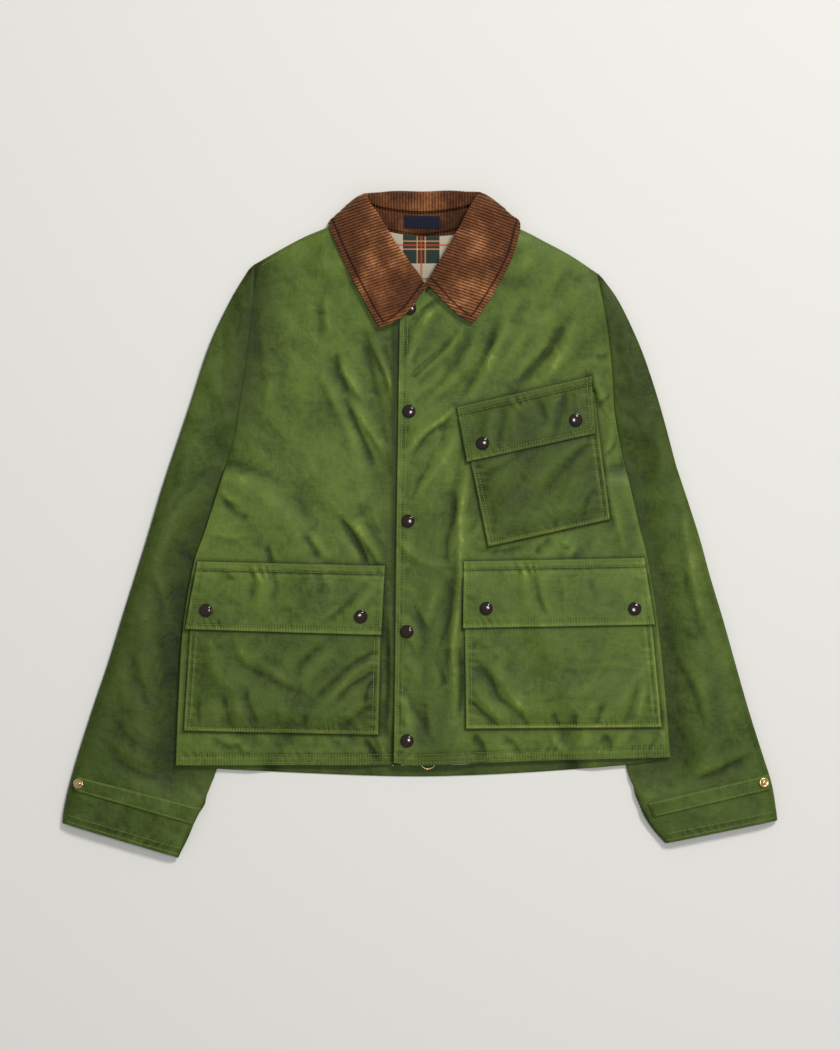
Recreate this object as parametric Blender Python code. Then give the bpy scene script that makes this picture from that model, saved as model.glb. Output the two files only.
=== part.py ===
"""Waxed cotton field jacket, cropped and boxy, lying on its back on a flat surface.

Every cloth piece is its own wall. The lower face of a panel is a height over the plane it lies on, so the
layers stack: floor, sleeves where the body covers them, back, right front, zip, left front, pockets, flaps.
The tables are in millimetres, x towards the wearer's left, y towards the collar, z up from the surface.
"""

import math

import bpy
from mathutils import Vector
from mathutils.bvhtree import BVHTree

MM = 0.001
CLOTH = 1.6              # waxed cotton with its lining, one panel
CORDUROY = 2.4           # the collar's fall, two layers of corduroy
STAND_CLOTH = 1.5
POCKET_CLOTH = 1.8
LINING_CLOTH = 1.0
GAP = 0.35               # between neighbouring pieces at seams and where one lies on another
SEAM_HEIGHT = 2.2        # how far a folded side edge curls up off the floor
EDGE_CURL = 9.0          # width over which the lower layer curls up to a fold
EDGE_ROUND = 16.0        # width over which the upper layer rounds down to a fold
ARMHOLE_LOFT = 5.5       # height of the armhole seam's crown over its ends
ARMHOLE_ROUND = 45.0
BODY_LOFT = 4.5          # air under the fronts, in the middle and near the side seams
SIDE_LOFT = 3.5
SLEEVE_LOFT = 7.0
SLEEVE_STACK = 4.2       # back panel over the two layers of a sleeve tucked under it
COLLAR_STACK = 3.1       # back panel over the fall of the collar
TUCK_MARGIN = 32.0
TUCK_RAMP = 30.0
SNAP_RADIUS = 7.5
SNAP_HEIGHT = 3.2
STUD_RADIUS = 5.5
STUD_HEIGHT = 2.6
STRAP_CLOTH = 1.4
POCKET_DEPTH = 3.6
RING_RADIUS = 8.4        # to the middle of the wire
RING_WIRE = 0.95
RING_TILT = -7.0         # degrees, the ring's free side resting on the hem below it
EYE_RADIUS = 2.2
EYE_HOLE = 1.4
EYE_WIDTH = 3.0
PULL = (9.6, -258.4)     # where the ring hangs in the slider's eye

# Body outline by side: armpit to hem, armhole from armpit to shoulder tip, shoulder to the neck point
SIDE = {
    "right": [(-217, 72), (-229, 33), (-243, -10), (-255, -45), (-267, -118), (-272, -200), (-275, -271)],
    "left": [(232, 68), (240.5, 32), (248, -2), (257, -38), (269, -112), (277, -190), (283, -262)],
}
ARMHOLE = {
    "right": [(-217, 72), (-207, 107), (-202, 141), (-193, 200), (-188, 250), (-185, 295)],
    "left": [(232, 68), (226, 95), (220, 131), (217, 182), (211, 230), (201, 284)],
}
SHOULDER = {
    "right": [(-185, 295), (-136, 322), (-110, 333), (-66, 350)],
    "left": [(201, 284), (169, 305), (137, 322), (118, 331.5), (70, 352)],
}
BACK_NECK = [(-66, 350), (-52, 339), (-34, 331), (5, 326), (45, 329), (58, 340), (70, 352)]
FRONT_NECK = {
    "right": [(-66, 350), (-56, 340), (-38, 316), (-20, 288), (-2, 266), (19, 262)],
    "left": [(70, 352), (61, 341), (46, 318), (26, 288), (7, 266), (-22, 256)],
}
FRONT_EDGE = {"right": [(19, -269), (19, 262)], "left": [(-29, -268), (-26, 0), (-22, 256)]}
FRONT_HEM = {
    "right": [(-275, -271), (-150, -271), (-29, -271), (19, -269)],
    "left": [(283, -262), (140, -266), (1, -271), (-29, -268)],
}
BACK_HEM = [(-275, -271), (-229, -275), (-110, -281), (6, -284), (130, -279), (249, -269), (283, -262)]

# Sleeve outline: outer fold beside the armhole, then a row for each section below the armpit
CAP_FOLD = {
    "right": [(-282, 68), (-259, 136), (-237, 203), (-213, 254), (-193, 288)],
    "left": [(290, 66), (272, 133), (255, 186), (241, 220), (224, 254), (208, 277)],
}
# underarm x, underarm y, fold x, fold y
SLEEVE_ROWS = {
    "right": [
        (-230.5, 33, -293, 34),
        (-168, -27, -306, -10),
        (-154, -82, -320, -55),
        (-165, -137, -336, -106),
        (-185, -183, -351, -155),
        (-210, -228, -368, -205),
        (-229, -276, -385, -258),
        (-239, -305, -395, -293),
        (-253, -337, -401, -320),
        (-271, -375, -403, -336),
    ],
    "left": [
        (242, 32, 302, 30),
        (183, -27, 316, -14),
        (170, -82, 328, -58),
        (180, -137, 343, -108),
        (199, -180, 357, -158),
        (220, -225, 371, -207),
        (233, -271, 385, -252),
        (244, -305, 397, -290),
        (259, -336, 402, -318),
        (277, -359, 404, -333),
    ],
}

# Largest folds: from x, y to x, y, half width, height over the smooth panel
FOLDS = {
    "right": [
        (-60, 215, -30, 60, 16, 1.6),
        (-95, 20, -36, -30, 15, 1.8),
        (-160, 240, -178, 120, 18, 1.5),
    ],
    "left": [
        (40, 20, 38, -150, 13, 2.6),
        (64, -20, 60, -240, 14, -1.6),
        (10, 215, -10, 150, 14, 1.6),
        (40, 135, 2, 60, 15, 1.9),
        (120, 230, 84, 165, 18, 1.8),
    ],
    "sleeve_right": [(-240, 170, -262, 60, 17, 2.0), (-300, -60, -322, -170, 17, 2.0)],
    "sleeve_left": [(246, 160, 262, 50, 16, 2.0), (300, -60, 326, -190, 17, 2.2)],
}

# Patch pockets and flaps: the four corners, anticlockwise from the hem end nearer the wearer's right
POCKETS = {
    "pocket_right": [(-266, -232), (-46, -237), (-42, -66), (-255, -61)],
    "pocket_left": [(52, -230), (273, -228), (257, -59), (50, -62)],
    "pocket_chest": [(77, -25), (215, 6), (197, 150), (48, 116)],
}
FLAPS = {
    "flap_right": [(-264, -117), (-43, -124), (-39, -46), (-250, -41)],
    "flap_left": [(49, -116), (265, -112), (253, -37), (50, -41)],
    "flap_chest": [(53, 71), (198, 103), (194, 168), (42, 133)],
}
CARRIER = {"right": "front_right", "left": "front_left", "chest": "front_left"}
FLAP_SNAPS = {
    "right": [(-240, -96), (-66, -103)],
    "left": [(75, -94), (242, -94)],
    "chest": [(71, 92), (176, 118)],
}
PLACKET_SNAPS = [(-11, 244), (-12, 128), (-13, 4.5), (-14, -120), (-14, -243)]
STRAPS = {
    "right": [(-389, -299), (-257, -337), (-246, -319), (-385, -283)],
    "left": [(264, -329), (395, -298), (394, -281), (257, -313)],
}
STUDS = {"right": (-384, -291), "left": (388, -290)}

# Collar sections round the neck: seam on the panels, roll line, widest point, turn and outer edge
COLLAR = [
    ((3, 261, 11.5), (5, 268, 17.5), (-21, 244, 17.5), (-33, 233, 16), (-46, 223, 14.2)),
    ((-10, 275, 12.0), (-8, 289, 21), (-31, 264, 20.5), (-43, 250, 17.5), (-53, 236, 14.4)),
    ((-24, 294, 12.5), (-23, 308, 25), (-48, 290, 23.5), (-60, 281, 19), (-72, 271, 14.6)),
    ((-38, 316, 13.0), (-36, 328, 28), (-62, 317, 25), (-75, 310, 19), (-88, 303, 14.6)),
    ((-50, 333, 12.8), (-46, 345, 29), (-72, 340, 25), (-87, 334, 19), (-99, 329, 14.8)),
    ((-59, 344, 12.4), (-55, 358, 29), (-80, 353, 22), (-93, 347, 15), (-102, 340, 8.0)),
    ((-63, 350, 11.0), (-60, 366, 27), (-82, 358, 15), (-92, 349, 6.5), (-97, 343, 2.4)),
    ((-64, 351, 9.0), (-60, 370, 24.5), (-77, 363, 11), (-85, 352, 1.8), (-84, 330, 1.2)),
    ((-61, 350, 8.0), (-58, 371.5, 22), (-70, 367, 9), (-72, 360, 1.5), (-66, 306, 1.2)),
    ((-42, 336, 6.6), (-36, 372, 15), (-37, 373.5, 9), (-36, 369, 2.0), (-33, 302, 1.2)),
    ((5, 328, 6.4), (5, 371, 12.5), (5, 373, 8), (5, 369, 1.9), (5, 300, 1.2)),
    ((52, 338, 6.6), (45, 372.5, 15), (46, 374, 9), (45, 370, 2.0), (42, 302, 1.2)),
    ((65, 352, 8.0), (64, 373, 22), (76, 369, 9), (79, 361, 1.5), (74, 306, 1.2)),
    ((68, 353, 9.0), (66, 371, 24.5), (85, 364, 11), (95, 352, 1.8), (92, 330, 1.2)),
    ((67, 351, 11.0), (64, 366, 27), (91, 358, 15), (102, 349, 6.5), (108, 343.5, 2.4)),
    ((63, 345, 12.4), (59, 358, 29), (88, 352, 22), (104, 346, 15), (113, 340, 8.0)),
    ((56, 334, 12.8), (52, 344, 29), (78, 338, 25), (97, 332, 19), (112, 327, 14.8)),
    ((46, 318, 14.4), (43, 327, 28), (70, 314, 25), (88, 305, 19), (104, 300, 14.6)),
    ((31, 297, 14.4), (31, 306, 25.5), (58, 288, 23.5), (75, 279, 19), (90, 272, 14.6)),
    ((19, 276, 14.0), (20, 289, 22), (42, 264, 20.5), (58, 250, 17.5), (70, 240, 14.4)),
    ((8, 261, 13.0), (9, 270, 18.5), (32, 247, 17.5), (45, 236, 16), (60, 227, 14.2)),
]
COLLAR_SEAM = 0.52       # share of the way from neck seam to roll line where the stand is sewn to the fall
COLLAR_STATIONS = 30

ROWS_SIDE = (0, 0.12, 0.25, 0.38, 0.51, 0.64, 0.76, 0.86, 0.93, 1)
ROWS_ARMHOLE = (0, 0.14, 0.28, 0.42, 0.56, 0.70, 0.83, 0.93, 1)
COLUMNS_SHOULDER = (0, 0.04, 0.12, 0.32, 0.54, 0.77, 1)
COLUMNS_NECK = (0, 0.25, 0.5, 0.75, 1)
SLEEVE_COLUMNS = 9
TUCKED_COLUMNS = 3

PAINTS = {   # colour, roughness, metallic
    "waxed_cotton": ((0.072, 0.120, 0.028), 0.55, 0),
    "corduroy": ((0.075, 0.024, 0.010), 0.85, 0),
    "tartan": ((0.55, 0.50, 0.40), 0.9, 0),
    "label": ((0.012, 0.014, 0.030), 0.8, 0),
    "lacquer": ((0.020, 0.010, 0.008), 0.25, 0.3),
    "brass": ((0.60, 0.42, 0.16), 0.35, 1),
    "zip_tape": ((0.03, 0.035, 0.02), 0.8, 0),
}

trees = {}
built = []


def ease(share):
    share = min(max(share, 0), 1)
    return share * share * (3 - 2 * share)


def dome(share):
    share = min(max(share, 0), 1)
    return math.sqrt(1 - (1 - share) ** 2)


def mix(a, b, share):
    return a + (b - a) * share


def smooth_line(points, steps=10):
    """A dense smooth line through the points, which it passes in order."""
    pts = [Vector(p if len(p) == 3 else (*p, 0)) for p in points]
    pts = [pts[0] * 2 - pts[1], *pts, pts[-1] * 2 - pts[-2]]
    line = []
    for a, b, c, d in zip(pts, pts[1:], pts[2:], pts[3:]):
        for k in range(steps):
            t = k / steps
            pull = (c - a) * t + (a * 2 - b * 5 + c * 4 - d) * t * t + (b * 3 - a - c * 3 + d) * t ** 3
            line.append(b + pull / 2)
    return line + [pts[-2]]


def along(line, shares):
    """Points at the given shares of a dense line's length."""
    reach = [0]
    for a, b in zip(line, line[1:]):
        reach.append(reach[-1] + (b - a).length)
    found = []
    for share in shares:
        goal = share * reach[-1]
        k = next((i for i in range(1, len(reach)) if reach[i] >= goal - 1e-9), len(reach) - 1)
        step = reach[k] - reach[k - 1]
        found.append(line[k - 1].lerp(line[k], (goal - reach[k - 1]) / step if step else 0))
    return found


def nearest(point, line):
    """Distance from a point to a dense line in plan, and the share of the line where it is nearest."""
    best = (1e9, 0)
    for k, (a, b) in enumerate(zip(line, line[1:])):
        run = (b - a).to_2d()
        off = (point - a).to_2d()
        t = min(max(off.dot(run) / max(run.length_squared, 1e-9), 0), 1)
        gap = (off - run * t).length
        if gap < best[0]:
            best = (gap, (k + t) / (len(line) - 1))
    return best


side_line = {s: smooth_line(SIDE[s]) for s in SIDE}
armhole_line = {s: smooth_line(ARMHOLE[s]) for s in SIDE}
shoulder_line = {s: smooth_line(SHOULDER[s]) for s in SIDE}
underarm_line = {s: smooth_line([row[:2] for row in SLEEVE_ROWS[s]]) for s in SIDE}
fold_line = {s: smooth_line([row[2:] for row in SLEEVE_ROWS[s]]) for s in SIDE}
cap_line = {s: smooth_line(CAP_FOLD[s]) for s in SIDE}
hem_line = smooth_line(BACK_HEM)


def side_of(p):
    return "right" if p.x < 3 else "left"


def tuck_lift(p):
    """How far the back is lifted by the sleeve tucked under it, and at the neck by the collar's fall."""
    side = side_of(p)
    sign = -1 if side == "right" else 1
    line = underarm_line[side]
    gap, share = nearest(p, line)
    k = min(round(share * (len(line) - 1)), len(line) - 1)
    if (p.x - line[k].x) * sign > 0:
        gap = 0
    tuck = SLEEVE_STACK * ease(1 - (gap - TUCK_MARGIN) / TUCK_RAMP) * ease((SIDE[side][0][1] - p.y) / 22)
    collar = COLLAR_STACK * ease((p.y - 268) / 28) * ease((138 - abs(p.x - 6)) / 28)
    return max(tuck, collar)


def side_curl(p):
    """Height of the side fold over the layer below, none at the armpit, and the distance to that fold."""
    side = side_of(p)
    gap, _ = nearest(p, side_line[side])
    return SEAM_HEIGHT * ease((SIDE[side][0][1] - p.y) / 50), gap


def shoulder_curl(p):
    side = side_of(p)
    gap, share = nearest(p, shoulder_line[side])
    return SEAM_HEIGHT * ease(share * 6), gap


def armhole_height(p):
    """Height of the nearest point of the armhole seam over the back, and the distance to it."""
    side = side_of(p)
    gap, share = nearest(p, armhole_line[side])
    return ARMHOLE_LOFT * ease(share * 3.4) * ease((1 - share) * 5), gap


def fold_height(p, key):
    """Ridges and troughs of the fold table."""
    total = 0
    for x1, y1, x2, y2, half_width, height in FOLDS.get(key, []):
        start, run = Vector((x1, y1)), Vector((x2 - x1, y2 - y1))
        off = p.to_2d() - start
        t = off.dot(run) / run.length_squared
        gap = (off - run * min(max(t, 0), 1)).length
        total += height * math.exp(-((gap / half_width) ** 2)) * ease(3 * (t + 0.3)) * ease(3 * (1.3 - t))
    return total


def back_low(p):
    rise, gap = side_curl(p)
    top_rise, top_gap = shoulder_curl(p)
    curl = rise * max(1 - gap / EDGE_CURL, 0) ** 2 + top_rise * max(1 - top_gap / EDGE_CURL, 0) ** 2
    return tuck_lift(p) + curl


def loft(p, side):
    """Air under a front: less near the side seams, and stepped where the fronts overlap over the zip."""
    air = mix(BODY_LOFT, SIDE_LOFT, ease((abs(p.x) - 120) / 100))
    neck = 1.4 * ease((p.y - 200) / 60)
    hem = ease((-200 - p.y) / 55)
    if side == "right":
        return neck + mix(air, 2.5 - 1.0 * hem, ease((p.x + 75) / 40))
    return neck + mix(air, 6.3 + 2.9 * hem, ease((70 - p.x) / 40))


def front_low(p, side):
    air = loft(p, side) + fold_height(p, side)
    rise, gap = side_curl(p)
    air = mix(rise, air, dome(gap / EDGE_ROUND))
    rise, gap = shoulder_curl(p)
    air = mix(rise, air, dome(gap / EDGE_ROUND))
    seam, gap = armhole_height(p)
    air = mix(seam, air, dome(gap / ARMHOLE_ROUND))
    return tuck_lift(p) + CLOTH + GAP + air


def in_body(p, side):
    """Whether the body covers this point of a sleeve."""
    sign = -1 if side == "right" else 1
    if p.y > SIDE[side][0][1] or p.y < hem_height(p.x):
        return False
    line = side_line[side]
    edge = next((mix(a.x, b.x, (p.y - a.y) / (b.y - a.y)) for a, b in zip(line, line[1:]) if b.y <= p.y <= a.y),
                line[-1].x)
    return (p.x - edge) * sign < 0


def hem_height(x):
    found = [mix(a.y, b.y, (x - a.x) / (b.x - a.x)) for a, b in zip(hem_line, hem_line[1:]) if a.x <= x <= b.x]
    return found[0] if found else hem_line[0 if x < 0 else -1].y


def sleeve_curls(p, side):
    """Height of the two folds of a sleeve and the distance to each: the outer fold and the underarm."""
    sign = -1 if side == "right" else 1
    outer = cap_line[side][::-1] + fold_line[side]
    gap, _ = nearest(p, outer)
    tip = Vector((*ARMHOLE[side][-1], 0))
    rise = SEAM_HEIGHT * ease(((p - tip).to_2d().length - 8) / 30)
    under_gap, _ = nearest(p, underarm_line[side])
    under_rise = SEAM_HEIGHT * ease((hem_height(sign * 240) - 4 - p.y) / 18)
    return rise, gap, under_rise, under_gap


def sleeve_under_low(p, side):
    rise, gap, under_rise, under_gap = sleeve_curls(p, side)
    curl = rise * max(1 - gap / EDGE_CURL, 0) ** 2
    return max(curl, under_rise * max(1 - under_gap / EDGE_CURL, 0) ** 2)


def sleeve_top_low(p, side):
    if in_body(p, side):
        free = 0
    else:
        free = min(nearest(p, side_line[side])[0], nearest(p, hem_line)[0])
    opened = ease((free - 5) / 42)
    air = (SLEEVE_LOFT + fold_height(p, "sleeve_" + side)) * opened
    rise, gap, under_rise, under_gap = sleeve_curls(p, side)
    air = mix(rise, air, dome(gap / EDGE_ROUND))
    if under_rise > 0:
        air = mix(under_rise, air, dome(under_gap / EDGE_ROUND))
    seam, gap = armhole_height(p)
    return CLOTH + GAP + mix(seam, air, dome(gap / ARMHOLE_ROUND))


def coons(bottom, top, left, right):
    """A grid of points between four edges, given as point lists from the same two corners."""
    grid = []
    for j in range(len(left)):
        v = j / (len(left) - 1)
        row = []
        for i in range(len(bottom)):
            u = i / (len(bottom) - 1)
            across = left[j].lerp(right[j], u)
            up = bottom[i].lerp(top[i], v)
            flat = bottom[0].lerp(bottom[-1], u).lerp(top[0].lerp(top[-1], u), v)
            row.append(across + up - flat)
        grid.append(row)
    return grid


def paint(name):
    material = bpy.data.materials.get(name)
    if material is None:
        material = bpy.data.materials.new(name)
        material.use_nodes = True
        colour, roughness, metallic = PAINTS[name]
        shader = material.node_tree.nodes["Principled BSDF"]
        shader.inputs["Base Color"].default_value = (*colour, 1)
        shader.inputs["Roughness"].default_value = roughness
        shader.inputs["Metallic"].default_value = metallic
    return material


def make(name, verts, faces, colour, sharp=35):
    mesh = bpy.data.meshes.new(name)
    mesh.from_pydata([tuple(v) for v in verts], [], faces)
    mesh.materials.append(paint(colour))
    mesh.shade_smooth()
    mesh.set_sharp_from_angle(angle=math.radians(sharp))
    obj = bpy.data.objects.new(name, mesh)
    bpy.context.scene.collection.objects.link(obj)
    trees[name] = BVHTree.FromPolygons([Vector(v) for v in verts], faces)
    built.append(obj)
    return obj


def wall(name, low, high, colour):
    """A closed wall between two grids of points, the low one under the high one."""
    rows, columns = len(low), len(low[0])
    verts = [p for row in low for p in row] + [p for row in high for p in row]
    size = rows * columns

    def at(j, i, level):
        return level * size + j * columns + i

    faces = []
    for j in range(rows - 1):
        for i in range(columns - 1):
            quad = [(j, i), (j, i + 1), (j + 1, i + 1), (j + 1, i)]
            faces.append([at(*c, 1) for c in quad])
            faces.append([at(*c, 0) for c in reversed(quad)])
    rim = [(0, i) for i in range(columns)] + [(j, columns - 1) for j in range(1, rows)]
    rim += [(rows - 1, i) for i in range(columns - 2, -1, -1)] + [(j, 0) for j in range(rows - 2, 0, -1)]
    for a, b in zip(rim, rim[1:] + rim[:1]):
        faces.append([at(*a, 0), at(*b, 0), at(*b, 1), at(*a, 1)])
    if facing_in(verts, faces):
        faces = [list(reversed(f)) for f in faces]
    return make(name, verts, faces, colour)


def facing_in(verts, faces):
    """Whether a closed mesh is inside out, from the sign of its volume."""
    volume = 0
    for face in faces:
        a = Vector(verts[face[0]])
        for b, c in zip(face[1:], face[2:]):
            volume += a.dot(Vector(verts[b]).cross(Vector(verts[c])))
    return volume < 0


def panel(name, grid, low, thickness=CLOTH, colour="waxed_cotton"):
    """A flat grid lifted to its own height function, with a wall of cloth over it."""
    bottom = [[Vector((p.x, p.y, low(p))) for p in row] for row in grid]
    top = [[p + Vector((0, 0, thickness)) for p in row] for row in bottom]
    return wall(name, bottom, top, colour)


def shares_joined(first, second, cut):
    """Two runs of shares, joined into one run over a line whose first part is cut long."""
    return [s * cut for s in first] + [cut + s * (1 - cut) for s in second[1:]]


def body_edge(side):
    """Side seam and armhole from hem to shoulder tip, at the stations both panels and the sleeve share."""
    lower = along(side_line[side][::-1], ROWS_SIDE)
    return lower + along(armhole_line[side], ROWS_ARMHOLE)[1:]


def shoulder_edge(side):
    return along(shoulder_line[side], COLUMNS_SHOULDER)


def front(side):
    left = body_edge(side)
    neck = along(smooth_line(FRONT_NECK[side]), COLUMNS_NECK)
    top = shoulder_edge(side) + neck[1:]
    columns = shares_joined(COLUMNS_SHOULDER, COLUMNS_NECK, 0.62)
    rows = shares_joined(ROWS_SIDE, ROWS_ARMHOLE, 0.62)
    hem = along(smooth_line(FRONT_HEM[side]), columns)
    edge = along(smooth_line(FRONT_EDGE[side]), rows)
    panel("front_" + side, coons(hem, top, left, edge), lambda p: front_low(p, side))


def back():
    right, left = body_edge("right"), body_edge("left")
    neck = along(smooth_line(BACK_NECK), [k / 6 for k in range(7)])
    top = shoulder_edge("right") + neck[1:] + shoulder_edge("left")[::-1][1:]
    tight = [s * 0.36 for s in COLUMNS_SHOULDER]
    columns = tight + [0.36 + 0.28 * k / 6 for k in range(1, 7)] + [1 - s for s in tight[::-1]][1:]
    hem = along(hem_line, columns)
    panel("back_panel", coons(hem, top, right, left), back_low)


def crossing(a, b, side):
    """Share of the way from a to b where a sleeve section leaves the body's cover."""
    steps = 200
    inside = [in_body(a.lerp(b, k / steps), side) for k in range(steps + 1)]
    return max((k for k, covered in enumerate(inside) if covered), default=0) / steps


def sleeve_grid(side):
    sign = -1 if side == "right" else 1
    seam = along(armhole_line[side], ROWS_ARMHOLE)[::-1]
    folds = along(cap_line[side], ROWS_ARMHOLE)[::-1]
    pairs = [(s + Vector((sign * GAP, 0, 0)), f) for s, f in zip(seam, folds)]
    pairs += [(Vector((r[0], r[1], 0)), Vector((r[2], r[3], 0))) for r in SLEEVE_ROWS[side]]
    grid = []
    for a, b in pairs:
        cut = crossing(a, b, side) + 5 / (b - a).length
        if cut < 0.1:
            shares = [k / SLEEVE_COLUMNS for k in range(SLEEVE_COLUMNS + 1)]
        else:
            shares = [cut * k / TUCKED_COLUMNS for k in range(TUCKED_COLUMNS)]
            seen = SLEEVE_COLUMNS - TUCKED_COLUMNS
            shares += [mix(cut, 1, k / seen) for k in range(seen + 1)]
        shares[-2:-1] = [1 - min(4 / (b - a).length, (1 - shares[-2]) / 2)]
        grid.append([a.lerp(b, s) for s in shares])
    return grid


def sleeve(side):
    grid = sleeve_grid(side)
    panel("sleeve_under_" + side, grid, lambda p: sleeve_under_low(p, side))
    panel("sleeve_top_" + side, grid, lambda p: sleeve_top_low(p, side))


def height_on(names, x, y):
    """Highest point of the named pieces over a place, or None beside them."""
    hits = [trees[n].ray_cast(Vector((x, y, 300)), Vector((0, 0, -1)))[0] for n in names]
    return max((h.z for h in hits if h), default=None)


def quad_grid(corners, across, up):
    a, b, c, d = (Vector((*p, 0)) for p in corners)
    return [[a.lerp(b, u).lerp(d.lerp(c, u), v) for u in across] for v in up]


def laid_on(name, grid, carriers, thickness, colour, loft_at=lambda u, v: 0, reach=0):
    """A wall that lies on its carriers a gap above them, lifted where it would cut them between its points."""
    low = []
    for j, row in enumerate(grid):
        line = []
        for i, p in enumerate(row):
            found = [height_on(carriers, p.x, p.y + step) for step in (-reach, 0, reach)]
            z = max((h for h in found if h is not None), default=None)
            if z is None:
                raise ValueError(f"{name} reaches past what it lies on at {p.x:.0f}, {p.y:.0f}")
            air = loft_at(i / (len(row) - 1), j / (len(grid) - 1))
            line.append(Vector((p.x, p.y, z + GAP + air)))
        low.append(line)
    cut = 0
    for a, b in zip(low, low[1:]):
        for p, q, r, s in zip(a, a[1:], b[1:], b):
            for k in range(169):
                u, v = k % 13 / 12, k // 13 / 12
                here = p.lerp(q, u).lerp(s.lerp(r, u), v)
                under = height_on(carriers, here.x, here.y)
                if under is not None:
                    cut = max(cut, under + GAP - here.z)
    low = [[p + Vector((0, 0, cut)) for p in row] for row in low]
    high = [[p + Vector((0, 0, thickness)) for p in row] for row in low]
    return wall(name, low, high, colour)


def pocket(key):
    """A patch pocket with a fold of air in it, deeper towards its foot."""
    across = (0, 0.04, 0.12, 0.3, 0.5, 0.7, 0.88, 0.96, 1)
    up = (0, 0.05, 0.14, 0.35, 0.6, 0.8, 1)

    def air(u, v):
        edge = min(across[round(u * 8)], 1 - across[round(u * 8)]) / 0.08
        return POCKET_DEPTH * dome(edge) * dome(up[round(v * 6)] / 0.1) * (1 - 0.75 * up[round(v * 6)])

    name = "pocket_" + key
    grid = quad_grid(POCKETS[name], across, up)
    laid_on(name, grid, [CARRIER[key]], POCKET_CLOTH, "waxed_cotton", air)


def flap(key):
    grid = quad_grid(FLAPS["flap_" + key], [k / 8 for k in range(9)], (0, 0.35, 0.6, 0.74, 0.86, 1))
    laid_on("flap_" + key, grid, [CARRIER[key], "pocket_" + key], CLOTH, "waxed_cotton", reach=5)


def turned(name, centre, profile, colour, sides=14):
    """A turned piece from its radius and height pairs, closed with an apex at each end."""
    verts = [centre + Vector((0, 0, profile[0][1]))]
    for radius, height in profile[1:-1]:
        for k in range(sides):
            angle = 2 * math.pi * k / sides
            verts.append(centre + Vector((radius * math.cos(angle), radius * math.sin(angle), height)))
    verts.append(centre + Vector((0, 0, profile[-1][1])))
    faces = []
    for k in range(sides):
        n = (k + 1) % sides
        faces.append([0, 1 + n, 1 + k])
        for ring in range(len(profile) - 3):
            a = 1 + ring * sides
            faces.append([a + k, a + n, a + sides + n, a + sides + k])
        last = 1 + (len(profile) - 3) * sides
        faces.append([last + k, last + n, len(verts) - 1])
    return make(name, verts, faces, colour)


def cap(name, place, carriers, radius, height, colour):
    """A domed snap cap or stud that stands on its carrier."""
    around = [(0, 0)] + [(math.cos(a), math.sin(a)) for a in (k * math.pi / 8 for k in range(16))]
    found = [height_on(carriers, place[0] + radius * x, place[1] + radius * y) for x, y in around]
    foot = Vector((*place, max(z for z in found if z is not None) + GAP))
    profile = [(0, 0), (radius * 0.93, 0), (radius, height * 0.3), (radius * 0.8, height * 0.75), (0, height)]
    return turned(name, foot, profile, colour)


def snaps():
    for k, place in enumerate(PLACKET_SNAPS):
        cap(f"snap_placket_{k + 1}", place, ["front_left"], SNAP_RADIUS, SNAP_HEIGHT, "lacquer")
    for key, places in FLAP_SNAPS.items():
        for k, place in enumerate(places):
            cap(f"snap_{key}_{k + 1}", place, ["flap_" + key], SNAP_RADIUS, SNAP_HEIGHT, "lacquer")


def straps():
    for side in SIDE:
        sleeve_name = "sleeve_top_" + side
        across = [k / 8 for k in range(9)]
        laid_on("strap_" + side, quad_grid(STRAPS[side], across, (0, 0.5, 1)), [sleeve_name], STRAP_CLOTH,
                "waxed_cotton")
        cap("stud_" + side, STUDS[side], ["strap_" + side, sleeve_name], STUD_RADIUS, STUD_HEIGHT, "brass")


def lining():
    """The tartan lining, where the neck shows it, on the inside of the back."""
    across, up = [k / 6 for k in range(7)], [k / 4 for k in range(5)]
    foot = [Vector((mix(-62, 72, u), 236, 0)) for u in across]
    neck = [p - Vector((0, 2, 0)) for p in along(smooth_line(BACK_NECK[1:-1]), across)]
    left = [foot[0].lerp(neck[0], v) for v in up]
    right = [foot[-1].lerp(neck[-1], v) for v in up]
    laid_on("lining", coons(foot, neck, left, right), ["back_panel"], LINING_CLOTH, "tartan")


def collar_grid():
    """Smooth sections round the neck, each from the neck seam over the roll line to the outer edge."""
    rails = [smooth_line([row[k] for row in COLLAR], 8) for k in range(5)]
    shares = [k / (COLLAR_STATIONS - 1) for k in range(COLLAR_STATIONS)]
    places = [s * (len(rails[0]) - 1) for s in shares]
    sections = []
    for place in places:
        k = min(int(place), len(rails[0]) - 2)
        sections.append([rail[k].lerp(rail[k + 1], place - k) for rail in rails])
    return sections


def offset_wall(name, grid, thickness, colour):
    """A wall of even thickness about a surface of points, for cloth that turns over on itself."""
    rows, columns = len(grid), len(grid[0])
    low, high = [], []
    for j in range(rows):
        low.append([])
        high.append([])
        for i in range(columns):
            along_row = grid[j][min(i + 1, columns - 1)] - grid[j][max(i - 1, 0)]
            across_rows = grid[min(j + 1, rows - 1)][i] - grid[max(j - 1, 0)][i]
            normal = along_row.cross(across_rows).normalized()
            for side, sign in ((low, -1), (high, 1)):
                p = grid[j][i] + normal * sign * thickness / 2
                side[-1].append(Vector((p.x, p.y, max(p.z, 0))))
    return wall(name, low, high, colour)


def collar():
    stand, fall = [], []
    for neck, roll, wide, turn, outer in collar_grid():
        seam = neck.lerp(roll, COLLAR_SEAM) + Vector((0, 0, 0.6))
        start = neck + (seam - neck).normalized() * 1.2
        stop = seam - (seam - neck).normalized() * GAP
        stand.append([start, start.lerp(stop, 0.5), stop])
        line = smooth_line([seam, roll, wide, turn, outer], 8)
        fall.append(along(line, (0.03, 0.1, 0.2, 0.32, 0.5, 0.66, 0.83, 1)))
    offset_wall("collar_stand", stand, STAND_CLOTH, "corduroy")
    offset_wall("collar_fall", fall, CORDUROY, "corduroy")


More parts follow.
